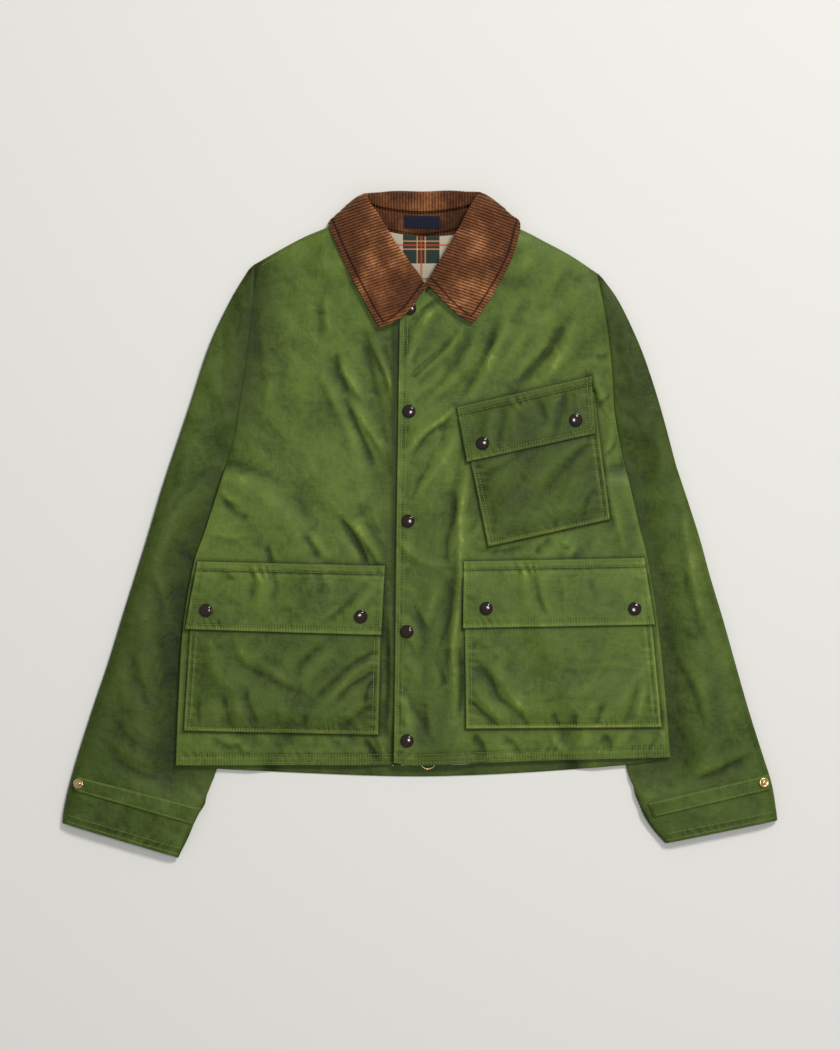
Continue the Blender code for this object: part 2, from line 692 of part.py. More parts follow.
def label():
    """The blank neck label on the stand."""
    grid = quad_grid([(-17, 335), (23, 334), (23, 348), (-17, 349)], (0, 0.25, 0.5, 0.75, 1), (0, 0.5, 1))
    laid_on("label", grid, ["collar_stand"], 0.8, "label")


def zip_parts():
    right = ["front_right"]
    grid = quad_grid([(-4, -243), (17, -243), (17, 252), (-4, 252)], (0, 0.5, 1), [k / 14 for k in range(15)])
    laid_on("zip_tape", grid, right, 1.1, "zip_tape")
    x, y = PULL
    floor = max(height_on(right, x + dx, y + dy) for dx in (-5, 0, 5) for dy in (-2, 2, 12))
    middle = Vector((x, y, floor + GAP + EYE_RADIUS))
    slider(middle)
    ring(middle)


def slider(middle):
    """Slider body with the eye that its ring hangs in: an outline in the y, z plane, with a hole along x."""
    sides = 16
    hole, skin = [], []
    for k in range(sides):
        angle = 2 * math.pi * k / sides
        c, s = math.cos(angle), math.sin(angle)
        hole.append((EYE_HOLE * c, EYE_HOLE * s))
        reach = EYE_RADIUS / max(abs(s), abs(c)) if c > 0 else EYE_RADIUS
        skin.append((reach * c, reach * s))
    rings = []
    for x in (-EYE_WIDTH / 2, EYE_WIDTH / 2):
        rings.append([middle + Vector((x, y, z)) for y, z in skin])
        rings.append([middle + Vector((x, y, z)) for y, z in hole])
    verts = [v for r in rings for v in r]
    faces = []
    for k in range(sides):
        n = (k + 1) % sides
        outer_a, inner_a, outer_b, inner_b = (r * sides for r in range(4))
        faces.append([outer_a + n, outer_a + k, inner_a + k, inner_a + n])
        faces.append([outer_b + k, outer_b + n, inner_b + n, inner_b + k])
        faces.append([outer_a + k, outer_a + n, outer_b + n, outer_b + k])
        faces.append([inner_a + n, inner_a + k, inner_b + k, inner_b + n])
    if facing_in(verts, faces):
        faces = [list(reversed(f)) for f in faces]
    make("zip_bail", verts, faces, "brass")
    foot = middle + Vector((0, EYE_RADIUS + GAP, -EYE_RADIUS))
    corners = [(-3.2, 0), (3.2, 0), (4.6, 4), (4.6, 8), (2.6, 11), (-2.6, 11), (-4.6, 8), (-4.6, 4)]
    low = [foot + Vector((x, y, 0)) for x, y in corners]
    high = [p + Vector((0, 0, 3.6)) for p in low]
    count = len(corners)
    faces = [list(range(count))[::-1], [count + k for k in range(count)]]
    faces += [[k, (k + 1) % count, count + (k + 1) % count, count + k] for k in range(count)]
    make("zip_slider", low + high, faces, "brass")


def ring(middle):
    """Round pull ring through the eye, lying towards the hem."""
    around, wire = 22, 8
    tilt = math.radians(RING_TILT)
    verts, faces = [], []
    for k in range(around):
        a = 2 * math.pi * k / around
        for j in range(wire):
            b = 2 * math.pi * j / wire
            reach = RING_RADIUS + RING_WIRE * math.cos(b)
            p = Vector((reach * math.sin(a), reach * math.cos(a) - RING_RADIUS, RING_WIRE * math.sin(b)))
            low_y = p.y * math.cos(tilt) + p.z * math.sin(tilt)
            low_z = p.z * math.cos(tilt) - p.y * math.sin(tilt)
            verts.append(middle + Vector((p.x, low_y, low_z)))
            n, m = (k + 1) % around, (j + 1) % wire
            faces.append([k * wire + j, n * wire + j, n * wire + m, k * wire + m])
    if facing_in(verts, faces):
        faces = [list(reversed(f)) for f in faces]
    make("zip_ring", verts, faces, "brass")


def centre_on_floor():
    """Puts the middle of the outline and the lowest point at the origin, and turns millimetres to metres."""
    points = [v.co for o in built for v in o.data.vertices]
    middle = Vector([(min(p[k] for p in points) + max(p[k] for p in points)) / 2 for k in range(2)]
                    + [min(p.z for p in points)])
    for o in built:
        for v in o.data.vertices:
            v.co = (v.co - middle) * MM


def clear_scene():
    for o in list(bpy.data.objects):
        bpy.data.objects.remove(o)


clear_scene()
back()
for jacket_side in SIDE:
    front(jacket_side)
    sleeve(jacket_side)
lining()
collar()
label()
for pocket_key in CARRIER:
    pocket(pocket_key)
    flap(pocket_key)
snaps()
straps()
zip_parts()
centre_on_floor()
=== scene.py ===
# Waxed cotton jacket laid on its back: the cloth, corduroy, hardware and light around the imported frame.
import math

import bpy
import numpy as np
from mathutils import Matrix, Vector
from mathutils.bvhtree import BVHTree


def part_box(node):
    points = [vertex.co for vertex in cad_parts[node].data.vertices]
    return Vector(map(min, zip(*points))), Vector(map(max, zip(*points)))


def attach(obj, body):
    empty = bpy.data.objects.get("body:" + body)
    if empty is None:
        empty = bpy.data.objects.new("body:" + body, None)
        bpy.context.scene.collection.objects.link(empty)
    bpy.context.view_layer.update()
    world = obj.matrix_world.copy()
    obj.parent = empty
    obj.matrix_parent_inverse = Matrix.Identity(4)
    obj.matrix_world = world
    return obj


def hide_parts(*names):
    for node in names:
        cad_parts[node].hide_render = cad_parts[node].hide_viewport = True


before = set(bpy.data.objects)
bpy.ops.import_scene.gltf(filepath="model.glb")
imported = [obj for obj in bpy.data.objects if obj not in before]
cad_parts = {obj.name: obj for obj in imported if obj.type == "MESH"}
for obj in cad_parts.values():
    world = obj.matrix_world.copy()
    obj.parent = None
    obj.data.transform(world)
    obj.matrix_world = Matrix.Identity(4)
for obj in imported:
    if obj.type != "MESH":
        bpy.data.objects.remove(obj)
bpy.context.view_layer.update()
print("frame loaded:", len(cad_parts), "pieces")

mm = 0.001
middle = np.array([0.5, 0.25, 0.0])    # the pattern's own origin, in the finished model
lightWay = (0.42, 0.91)                # the way to the lamp, in plan
trees = {}                             # ray-casting surfaces of the pieces made so far, in millimetres
stitchRows = []


# Lines, in millimetres: x towards the wearer's left, y towards the collar, z up from the surface

def ease(share):
    share = np.clip(share, 0, 1)
    return share * share * (3 - 2 * share)


def dome(share):
    share = np.clip(share, 0, 1)
    return np.sqrt(1 - (1 - share) ** 2)


def blend(a, b, share):
    return a + (b - a) * share


def smoothLine(points, steps=10):
    pts = np.array(points, float)
    pts = np.concatenate([[pts[0] * 2 - pts[1]], pts, [pts[-1] * 2 - pts[-2]]])
    line = []
    for a, b, c, d in zip(pts, pts[1:], pts[2:], pts[3:]):
        for k in range(steps):
            t = k / steps
            pull = (c - a) * t + (a * 2 - b * 5 + c * 4 - d) * t * t + (b * 3 - a - c * 3 + d) * t ** 3
            line.append(b + pull / 2)
    line.append(pts[-2])
    return np.array(line)


def reaches(line):
    return np.concatenate([[0], np.cumsum(np.linalg.norm(np.diff(line, axis=0), axis=1))])


def along(line, shares):
    reach = reaches(line)
    goal = np.asarray(shares) * reach[-1]
    return np.stack([np.interp(goal, reach, line[:, k]) for k in range(line.shape[1])], axis=-1)


def joined(first, second, shares, cut):
    # points on two lines that follow each other, the first taking the shares up to the cut
    shares = np.asarray(shares)
    a = along(first, np.clip(shares / cut, 0, 1))
    b = along(second, np.clip((shares - cut) / (1 - cut), 0, 1))
    return np.where((shares <= cut)[:, None], a, b)


def offsetLine(line, distance):
    # the line moved sideways, to its left where the distance is positive
    run = np.gradient(line[:, :2], axis=0)
    run /= np.maximum(np.linalg.norm(run, axis=1, keepdims=True), 1e-9)
    return line[:, :2] + np.stack([-run[:, 1], run[:, 0]], axis=-1) * distance


def measure(x, y, line):
    # distance to a line in plan, reach along it, and how far towards the light the point lies from it
    gap = np.full(x.shape, 1e9)
    reach, toward = np.zeros(x.shape), np.zeros(x.shape)
    start = 0.0
    for a, b in zip(line[:-1, :2], line[1:, :2]):
        run = b - a
        length = float(np.hypot(*run))
        if length < 1e-6:
            continue
        t = np.clip(((x - a[0]) * run[0] + (y - a[1]) * run[1]) / length ** 2, 0, 1)
        dx, dy = x - a[0] - t * run[0], y - a[1] - t * run[1]
        here = np.hypot(dx, dy)
        near = here < gap
        gap = np.where(near, here, gap)
        reach = np.where(near, start + t * length, reach)
        toward = np.where(near, dx * lightWay[0] + dy * lightWay[1], toward)
        start += length
    return gap, reach, toward


lattice = np.random.default_rng(11).random((12, 64, 64)) * 2 - 1


def noise(x, y, size, layer=0):
    # smooth noise from -1 to 1, with features of the given size
    u, v = x / size + 31.7, y / size + 17.3
    i, j = np.floor(u).astype(int), np.floor(v).astype(int)
    s, t = ease(u - i), ease(v - j)
    grid = lattice[layer % 12]
    a, b = grid[j % 64, i % 64], grid[j % 64, (i + 1) % 64]
    c, d = grid[(j + 1) % 64, i % 64], grid[(j + 1) % 64, (i + 1) % 64]
    return blend(blend(a, b, s), blend(c, d, s), t)


def ridged(x, y, size, layer=0):
    # thin winding ridges from 0 to 1
    wx = x + size * 0.6 * noise(x, y, size * 1.7, layer + 3)
    wy = y + size * 0.6 * noise(x, y, size * 1.7, layer + 4)
    return 1 - np.minimum(np.abs(noise(wx, wy, size, layer)) * 2.6, 1)


# Outline of the body, one side each: side seam, armhole, shoulder, neck, front edge and hems
bodyPattern = {
    "side": {
        "right": [(-217, 72), (-229, 33), (-243, -10), (-255, -45), (-267, -118), (-272, -200), (-275, -271)],
        "left": [(232, 68), (240.5, 32), (248, -2), (257, -38), (269, -112), (277, -190), (283, -262)],
    },
    "armhole": {
        "right": [(-217, 72), (-207, 107), (-202, 141), (-193, 200), (-188, 250), (-185, 295)],
        "left": [(232, 68), (226, 95), (220, 131), (217, 182), (211, 230), (201, 284)],
    },
    "shoulder": {
        "right": [(-185, 295), (-136, 322), (-110, 333), (-66, 350)],
        "left": [(201, 284), (169, 305), (137, 322), (118, 331.5), (70, 352)],
    },
    "backNeck": [(-66, 350), (-52, 339), (-34, 331), (5, 326), (45, 329), (58, 340), (70, 352)],
    "frontNeck": {
        "right": [(-66, 350), (-56, 340), (-38, 316), (-20, 288), (-2, 266), (19, 262)],
        "left": [(70, 352), (61, 341), (46, 318), (26, 288), (7, 266), (-22, 256)],
    },
    "frontEdge": {"right": [(19, -269), (19, 262)], "left": [(-29, -268), (-26, 0), (-22, 256)]},
    "frontHem": {
        "right": [(-275, -271), (-150, -271), (-29, -271), (19, -269)],
        "left": [(283, -262), (140, -266), (1, -271), (-29, -268)],
    },
    "backHem": [(-275, -271), (-229, -275), (-110, -281), (6, -284), (130, -279), (249, -269), (283, -262)],
}

# Outer fold of each sleeve beside the armhole, then underarm x, y and fold x, y down to the cuff
sleevePattern = {
    "cap": {
        "right": [(-282, 68), (-259, 136), (-237, 203), (-213, 254), (-193, 288)],
        "left": [(290, 66), (272, 133), (255, 186), (241, 220), (224, 254), (208, 277)],
    },
    "rows": {
        "right": [
            (-230.5, 33, -293, 34), (-168, -27, -306, -10), (-154, -82, -320, -55), (-165, -137, -336, -106),
            (-185, -183, -351, -155), (-210, -228, -368, -205), (-229, -276, -385, -258),
            (-239, -305, -395, -293), (-253, -337, -401, -320), (-271, -375, -403, -336),
        ],
        "left": [
            (242, 32, 302, 30), (183, -27, 316, -14), (170, -82, 328, -58), (180, -137, 343, -108),
            (199, -180, 357, -158), (220, -225, 371, -207), (233, -271, 385, -252), (244, -305, 397, -290),
            (259, -336, 402, -318), (277, -359, 404, -333),
        ],
    },
}

# How the layers lie: cloth and the air between it
clothShape = {
    "thickness": 1.6,
    "gap": 0.35,
    "seamHeight": 2.2,
    "edgeCurl": 9.0,
    "edgeRound": 16.0,
    "armholeLoft": 5.5,
    "armholeRound": 45.0,
    "bodyLoft": 4.5,
    "sideLoft": 3.5,
    "sleeveLoft": 7.0,
    "sleeveStack": 4.2,
    "collarStack": 3.1,
    "tuckMargin": 32.0,
    "tuckRamp": 30.0,
}
clothTop = clothShape["thickness"] + clothShape["gap"]

# How the left front lies over the right: to where it is held up, from where it sinks, and how fast
leafShape = {"reach": 60, "start": 20, "slope": 0.13, "gap": 1.75, "underEdge": 18.9}

# How far inside its edge each row of stitches runs
sewn = {
    "hem": (12.0, 3.2),
    "side": 5.5,
    "shoulder": 5.0,
    "placket": (4.5, 9.0),
    "cuff": (3.5, 10.5),
    "strap": 2.0,
    "pocketFoot": 4.2,
    "pocketEnds": (2.2, 7.2),
    "flapHead": (1.8, 9.4),
    "flapFoot": 6.0,
    "flapEnds": 5.5,
}

sideNames = ("right", "left")


def bothSides(table, steps, columns=slice(None)):
    return {s: smoothLine([row[columns] for row in table[s]], steps) for s in sideNames}


sideLine = bothSides(bodyPattern["side"], 5)
armholeLine = bothSides(bodyPattern["armhole"], 5)
shoulderLine = bothSides(bodyPattern["shoulder"], 5)
frontNeckLine = bothSides(bodyPattern["frontNeck"], 5)
frontEdgeLine = bothSides(bodyPattern["frontEdge"], 6)
frontHemLine = bothSides(bodyPattern["frontHem"], 6)
underarmLine = bothSides(sleevePattern["rows"], 4, slice(0, 2))
foldLine = bothSides(sleevePattern["rows"], 4, slice(2, 4))
capLine = bothSides(sleevePattern["cap"], 5)
backHemLine = smoothLine(bodyPattern["backHem"], 5)
signOf = {"right": -1, "left": 1}

# Creases of each piece: its course, half width, and height, below nought for a trough
creases = {
    "frontRight": [
        ([(-107, 262), (-104, 240), (-101, 212)], 4, 0.8),
        ([(-116, 250), (-112, 225), (-114, 205)], 5, -0.6),
        ([(-96, 196), (-90, 170), (-80, 148)], 6, -1.3),
        ([(-88, 192), (-82, 172), (-70, 152), (-60, 138)], 6, 1.1),
        ([(-84, 138), (-70, 108), (-59, 84), (-51, 62)], 6, -2.0),
        ([(-76, 142), (-62, 118), (-48, 96), (-36, 78)], 7, 1.7),
        ([(-108, 170), (-94, 140), (-80, 112), (-70, 84)], 9, 1.3),
        ([(-56, 218), (-45, 192), (-34, 164), (-29, 142)], 6, 1.7),
        ([(-64, 214), (-58, 186), (-52, 160), (-44, 130)], 8, -1.3),
        ([(-42, 206), (-33, 178), (-29, 158)], 5, -0.9),
        ([(-46, 120), (-38, 96), (-36, 70), (-34, 44)], 6, -0.9),
        ([(-90, 8), (-76, -10), (-64, -32), (-57, -46)], 5, -2.2),
        ([(-78, 6), (-64, -12), (-50, -32), (-42, -44)], 6, 1.8),
        ([(-68, 46), (-58, 18), (-46, -8), (-32, -26)], 8, 1.0),
        ([(-62, 30), (-54, 6), (-42, -16)], 5, -0.8),
        ([(-132, -8), (-122, -24), (-112, -42)], 6, -1.2),
        ([(-124, -6), (-112, -22), (-98, -40)], 7, 1.0),
        ([(-140, 100), (-110, 50), (-84, 10)], 14, 0.8),
        ([(-172, -22), (-168, -34), (-166, -44)], 4, -0.9),
        ([(-178, 218), (-172, 190), (-168, 160), (-176, 120)], 9, 1.0),
        ([(-230, 42), (-214, 30), (-198, 22)], 4, 0.9),
        ([(-222, 30), (-206, 14), (-190, 8)], 5, -0.7),
        ([(-246, -6), (-214, -12), (-190, -10)], 6, 0.6),
        ([(-236, -240), (-214, -250), (-196, -248)], 6, -0.8),
        ([(-208, -240), (-198, -250), (-190, -256)], 4, 0.8),
        ([(-62, -240), (-54, -252), (-46, -266)], 4, -1.1),
        ([(-48, -236), (-42, -250), (-38, -266)], 4, 1.0),
        ([(-37, -120), (-34, -160), (-36, -200), (-38, -232)], 4, -1.0),
        ([(-33, -70), (-31, -120), (-32, -190)], 3.5, 0.8),
    ],
    "frontLeft": [
        ([(19, 254), (6, 244), (-4, 233), (-12, 223)], 3.2, -1.4),
        ([(24, 250), (12, 238), (3, 222), (-8, 198), (-14, 182)], 6, 1.9),
        ([(6, 228), (-4, 206), (-12, 194)], 4, -1.0),
        ([(42, 218), (24, 196), (6, 180), (-10, 166)], 6, -1.6),
        ([(50, 222), (34, 200), (14, 182), (-6, 162)], 6, 1.2),
        ([(60, 224), (44, 190), (22, 158), (-4, 136)], 7, -1.4),
        ([(68, 222), (54, 190), (34, 162), (4, 138)], 7, 1.3),
        ([(90, 232), (76, 196), (60, 166), (46, 140)], 7, -1.9),
        ([(100, 232), (86, 200), (72, 172), (58, 148)], 8, 1.5),
        ([(128, 250), (120, 222), (104, 196), (88, 176)], 9, 0.9),
        ([(168, 238), (152, 206), (130, 178), (108, 156)], 9, -2.0),
        ([(176, 232), (166, 204), (150, 178), (136, 164)], 9, 1.6),
        ([(186, 176), (190, 164), (200, 140), (212, 118)], 5, -1.1),
        ([(196, 178), (200, 158), (212, 134)], 5, 0.9),
        ([(42, 134), (24, 118), (4, 104), (-14, 84)], 5, 1.6),
        ([(36, 118), (16, 98), (-2, 72), (-16, 48)], 7, -1.8),
        ([(46, 108), (34, 84), (16, 58), (-4, 34)], 7, 1.2),
        ([(52, 100), (44, 66), (36, 34), (33, 6)], 7, -1.3),
        ([(10, 78), (-2, 52), (-12, 26)], 6, -0.9),
        ([(56, 62), (48, 24), (46, -6), (52, -28)], 5, 1.0),
        ([(38, 34), (33, 6), (28, -20), (31, -46)], 8, -2.3),
        ([(50, 10), (46, -22), (47, -56), (42, -96), (38, -140), (41, -182), (38, -226)], 6.5, 1.6),
        ([(38, -52), (35, -82), (26, -112), (13, -138)], 9, -2.4),
        ([(13, -138), (16, -160), (30, -182)], 7, -1.8),
        ([(46, -138), (47, -178), (45, -214)], 4, -1.5),
        ([(24, -60), (14, -92), (2, -118)], 9, 1.2),
        ([(-26, -12), (-10, -30), (8, -42), (26, -44)], 6, 1.0),
        ([(-20, -70), (-6, -94), (8, -118), (12, -134)], 4.5, -1.2),
        ([(-24, -100), (-10, -124), (2, -146)], 6, 0.9),
        ([(-18, -160), (-6, -188), (4, -214), (8, -240)], 8, -1.4),
        ([(-22, -190), (-14, -214), (-8, -236)], 6, 0.8),
        ([(60, -28), (90, -30), (118, -24)], 5, -0.8),
        ([(150, -14), (138, -24), (130, -34)], 5, -1.2),
        ([(160, -16), (172, -26), (166, -36)], 5, 0.9),
        ([(218, 116), (212, 60), (222, 10), (232, -26)], 6, 1.1),
        ([(226, 98), (216, 84), (208, 76)], 3.5, -1.0),
        ([(218, 150), (208, 140), (202, 136)], 3.2, -0.8),
        ([(217, 196), (206, 190), (198, 192)], 3.5, -0.8),
        ([(96, -238), (108, -250), (116, -262)], 5, -1.0),
        ([(60, -236), (70, -248), (74, -264)], 6, -1.3),
        ([(150, -236), (156, -248), (170, -258)], 5, 0.8),
        ([(206, -236), (214, -246), (212, -258)], 5, -0.8),
        ([(270, -232), (278, -240), (281, -252)], 4, 0.9),
    ],
    "pocketRight": [
        ([(-214, -126), (-204, -152), (-178, -170), (-146, -186), (-128, -196)], 9, -2.0),
        ([(-236, -140), (-222, -170), (-204, -186)], 12, 1.6),
        ([(-196, -140), (-170, -160), (-150, -172)], 10, 1.4),
        ([(-98, -126), (-118, -144), (-134, -160), (-138, -182)], 7, -1.7),
        ([(-90, -130), (-106, -150), (-122, -170), (-126, -196)], 8, 1.5),
        ([(-44, -142), (-70, -154), (-96, -176), (-122, -202)], 5, -1.5),
        ([(-45, -150), (-70, -164), (-92, -184), (-112, -206)], 5.5, 1.5),
        ([(-46, -162), (-62, -172), (-80, -184), (-94, -202)], 4, -1.4),
        ([(-47, -172), (-58, -184), (-62, -204)], 4, -1.1),
        ([(-50, -202), (-68, -214), (-86, -226)], 6, -1.3),
        ([(-250, -196), (-248, -226)], 5, -0.9),
        ([(-222, -186), (-218, -208), (-214, -228)], 6, -1.4),
        ([(-196, -182), (-192, -204), (-182, -228)], 6, -1.9),
        ([(-206, -196), (-202, -228)], 6, 1.2),
        ([(-162, -206), (-158, -228)], 5, -0.8),
        ([(-128, -212), (-130, -230)], 4, -0.9),
        ([(-236, -128), (-232, -150)], 7, 0.9),
    ],
    "flapRight": [
        ([(-226, -50), (-214, -56), (-210, -64)], 4, -1.1),
        ([(-190, -46), (-187, -62), (-190, -84)], 5, -1.1),
        ([(-179, -50), (-176, -70), (-180, -96)], 7, 1.0),
        ([(-166, -48), (-162, -66), (-166, -88)], 5, -0.9),
        ([(-114, -50), (-110, -66), (-114, -80)], 5, -0.9),
        ([(-104, -54), (-98, -72), (-100, -90)], 7, 0.8),
        ([(-56, -62), (-74, -82), (-92, -100), (-112, -114)], 6, -1.2),
        ([(-50, -70), (-66, -88), (-82, -106)], 6, 1.0),
        ([(-152, -80), (-136, -96), (-120, -108)], 9, 0.7),
    ],
    "pocketLeft": [
        ([(54, -122), (78, -134), (98, -152)], 6, 0.9),
        ([(62, -152), (79, -174), (90, -196), (108, -210), (126, -229)], 7, -2.3),
        ([(74, -150), (92, -172), (106, -194), (124, -210)], 8, 1.7),
        ([(54, -170), (66, -190), (84, -208), (102, -226)], 7, 1.5),
        ([(52, -194), (70, -210), (90, -228)], 4.5, -1.9),
        ([(208, -200), (202, -214), (197, -228)], 5, -1.7),
        ([(198, -196), (188, -214), (184, -228)], 7, 1.1),
        ([(247, -178), (240, -198), (231, -222)], 6, -2.0),
        ([(256, -176), (250, -200), (244, -224)], 6, 1.4),
        ([(262, -160), (259, -184), (258, -206)], 3.5, -1.2),
        ([(176, -212), (174, -228)], 4, -1.2),
        ([(150, -210), (158, -229)], 4, -1.2),
        ([(130, -150), (170, -166), (220, -164), (250, -170)], 11, -1.1),
        ([(128, -134), (180, -146), (236, -140)], 13, 1.0),
        ([(140, -190), (172, -186), (200, -192)], 9, 0.9),
    ],
    "flapLeft": [
        ([(127, -50), (132, -74), (142, -104)], 6, -1.7),
        ([(117, -50), (120, -76), (118, -104)], 8, 1.2),
        ([(152, -52), (156, -74), (160, -100)], 7, -0.9),
        ([(92, -48), (90, -62), (86, -72)], 5, -0.8),
        ([(243, -56), (246, -74), (240, -100)], 6, -1.0),
        ([(200, -60), (208, -84), (204, -104)], 10, 0.8),
        ([(60, -60), (72, -76), (70, -110)], 7, 0.7),
    ],
    "pocketChest": [
        ([(196, 96), (176, 76), (152, 50), (130, 26)], 7, -2.1),
        ([(188, 100), (166, 84), (140, 60), (118, 36)], 8, 1.5),
        ([(122, 88), (104, 72), (86, 62), (68, 56)], 6, -1.6),
        ([(112, 80), (96, 60), (82, 44), (74, 26)], 9, 1.0),
        ([(178, 60), (166, 34), (152, 10)], 9, 1.0),
        ([(200, 44), (190, 28), (184, 8)], 5, -1.0),
        ([(110, 20), (104, 0), (98, -14)], 6, -1.0),
        ([(134, 16), (128, 4), (122, -8)], 5, 0.8),
        ([(80, 30), (84, 8), (80, -16)], 5, -0.9),
        ([(156, 8), (150, -4)], 4, -0.9),
    ],
    "flapChest": [
        ([(84, 136), (78, 112), (82, 88)], 6, 1.1),
        ([(96, 138), (92, 112), (88, 86)], 6, -1.4),
        ([(112, 140), (106, 116), (110, 92)], 8, 1.1),
        ([(132, 146), (140, 126), (142, 106)], 6, -1.2),
        ([(164, 154), (158, 128), (150, 102)], 6, -1.3),
        ([(154, 152), (148, 126), (138, 100)], 7, 1.1),
        ([(182, 158), (180, 136), (186, 116)], 5, 0.8),
    ],
    "sleeveRight": [
        ([(-236, 176), (-226, 150), (-216, 122), (-220, 96), (-246, 72)], 6, 1.4),
        ([(-246, 170), (-238, 140), (-234, 110)], 8, -1.2),
        ([(-214, 230), (-208, 190), (-214, 150)], 7, 1.3),
        ([(-222, 224), (-220, 190), (-226, 160)], 6, -1.2),
        ([(-200, 262), (-198, 232), (-204, 206)], 4.5, 1.1),
        ([(-252, 110), (-262, 70), (-262, 30)], 10, 1.4),
        ([(-240, 64), (-256, 40), (-270, 30), (-284, 8)], 5, -1.6),
        ([(-268, 20), (-284, -14), (-294, -50)], 11, 1.5),
        ([(-304, -58), (-292, -88), (-288, -116)], 5, -1.9),
        ([(-296, -52), (-284, -84), (-281, -112)], 6, 1.2),
        ([(-292, -126), (-284, -152), (-278, -178)], 5, -1.8),
        ([(-302, -122), (-294, -152), (-288, -184)], 9, 1.4),
        ([(-326, -146), (-318, -170), (-306, -204)], 7, -1.5),
        ([(-334, -156), (-330, -186), (-322, -216)], 9, 1.2),
        ([(-296, -190), (-304, -224), (-300, -256)], 10, 1.2),
        ([(-344, -216), (-332, -236), (-312, -252)], 6, -1.0),
        ([(-352, -240), (-330, -256), (-300, -270), (-278, -276)], 7, 1.3),
        ([(-350, -254), (-324, -276), (-296, -286), (-268, -282)], 5, -1.5),
        ([(-262, -284), (-250, -294), (-240, -298)], 4, -1.4),
        ([(-266, -296), (-254, -306), (-246, -312)], 4, 1.2),
        ([(-330, -304), (-312, -322), (-290, -334)], 6, -0.9),
        ([(-300, -296), (-292, -316), (-294, -336)], 5, 0.9),
        ([(-388, -300), (-372, -310), (-352, -308)], 5, 0.8),
        ([(-270, -336), (-276, -352), (-282, -366)], 6, -0.8),
    ],
    "sleeveLeft": [
        ([(226, 236), (222, 200), (232, 160)], 6, -1.3),
        ([(236, 222), (234, 190), (244, 152)], 8, 1.3),
        ([(232, 130), (246, 110), (254, 80)], 6, -1.2),
        ([(268, 122), (258, 90), (250, 56), (246, 24)], 9, -1.5),
        ([(278, 96), (270, 60), (262, 28)], 9, 1.3),
        ([(262, 20), (274, -10), (276, -50)], 8, 1.1),
        ([(286, 54), (290, 10), (300, -56), (312, -112), (326, -142)], 8, -1.9),
        ([(298, 20), (304, -40), (318, -94), (334, -130)], 9, 1.4),
        ([(262, -96), (274, -122), (288, -152), (306, -182), (320, -228)], 5, -1.7),
        ([(272, -96), (286, -122), (300, -152), (318, -186), (332, -222)], 7, 1.5),
        ([(284, -112), (300, -122), (316, -130)], 5, -1.0),
        ([(284, -168), (286, -200), (292, -240)], 9, 1.2),
        ([(336, -176), (346, -204), (350, -236)], 10, 1.1),
        ([(374, -258), (344, -274), (308, -290)], 5, -1.7),
        ([(376, -250), (346, -264), (312, -276), (286, -276)], 7, 1.4),
        ([(256, -276), (272, -286), (294, -300)], 5, -1.4),
        ([(262, -292), (282, -300), (300, -296)], 5, 1.1),
        ([(334, -296), (334, -308), (332, -318)], 5, -1.4),
        ([(246, -300), (258, -306), (270, -304)], 4, 1.2),
        ([(300, -318), (318, -326), (340, -324)], 6, 0.9),
        ([(366, -296), (380, -312), (384, -326)], 6, -0.9),
    ],
    "collar": [
        ([(54, 276), (60, 262), (68, 248)], 5, 1.6),
        ([(44, 262), (52, 250), (58, 240)], 5, 1.2),
        ([(-52, 316), (-44, 290), (-30, 268)], 8, -1.2),
        ([(-66, 290), (-56, 268), (-44, 250)], 8, 0.9),
        ([(60, 320), (70, 300), (76, 284)], 8, 1.0),
    ],
    "back": [
        ([(-120, 180), (-90, 90), (-96, 0)], 9, 0.5),
        ([(60, 200), (84, 110), (70, 10)], 10, 0.5),
        ([(-20, 60), (10, -40), (-6, -150)], 12, 0.45),
        ([(-180, 60), (-140, -20), (-150, -90)], 8, 0.5),
        ([(150, 80), (176, 0), (160, -100)], 9, 0.5),
        ([(-200, -150), (-120, -190), (-40, -180)], 9, 0.45),
        ([(40, -190), (130, -210), (220, -180)], 9, 0.45),
    ],
    "under": [
        ([(-262, 60), (-268, 0), (-290, -60)], 7, 0.5),
        ([(-300, -100), (-310, -160), (-330, -220)], 8, 0.5),
        ([(262, 60), (272, 0), (286, -60)], 7, 0.5),
        ([(300, -100), (312, -160), (330, -220)], 8, 0.5),
    ],
}

# Profile of a crease as shares of its half width, and how strongly each kind of piece is creased and dented
creaseShape = {"search": 4, "width": 1.02, "wander": 0.35, "leeWidth": 1.5, "litWidth": 0.62, "power": 1.7}
strengthOf = {"front": (1.22, 1.0), "sleeve": (0.76, 0.85), "pocket": (0.74, 0.6), "flap": (0.85, 0.5)}


def creaseHeight(x, y, key):
    shape = creaseShape
    total = np.zeros(x.shape)
    for points, halfWidth, height in creases[key]:
        line = smoothLine(points, 5)
        margin = shape["search"] * halfWidth
        low, high = line.min(axis=0) - margin, line.max(axis=0) + margin
        near = (x > low[0]) & (x < high[0]) & (y > low[1]) & (y < high[1])
        if not near.any():
            continue
        px, py = x[near], y[near]
        gap, reach, toward = measure(px, py, line)
        share = reach / reaches(line)[-1]
        wander = 1 + shape["wander"] * noise(px, py, 26, 5)
        lit = -np.sign(height) * toward / halfWidth      # steep on the side that falls away from the light
        wide = blend(shape["leeWidth"], shape["litWidth"], ease(0.5 + 0.6 * lit))
        wide = shape["width"] * halfWidth * wander * wide
        taper = ease((share + 0.12) / 0.4) * ease((1.12 - share) / 0.4)
        total[near] += height * np.exp(-(gap / wide) ** shape["power"]) * taper
    return total


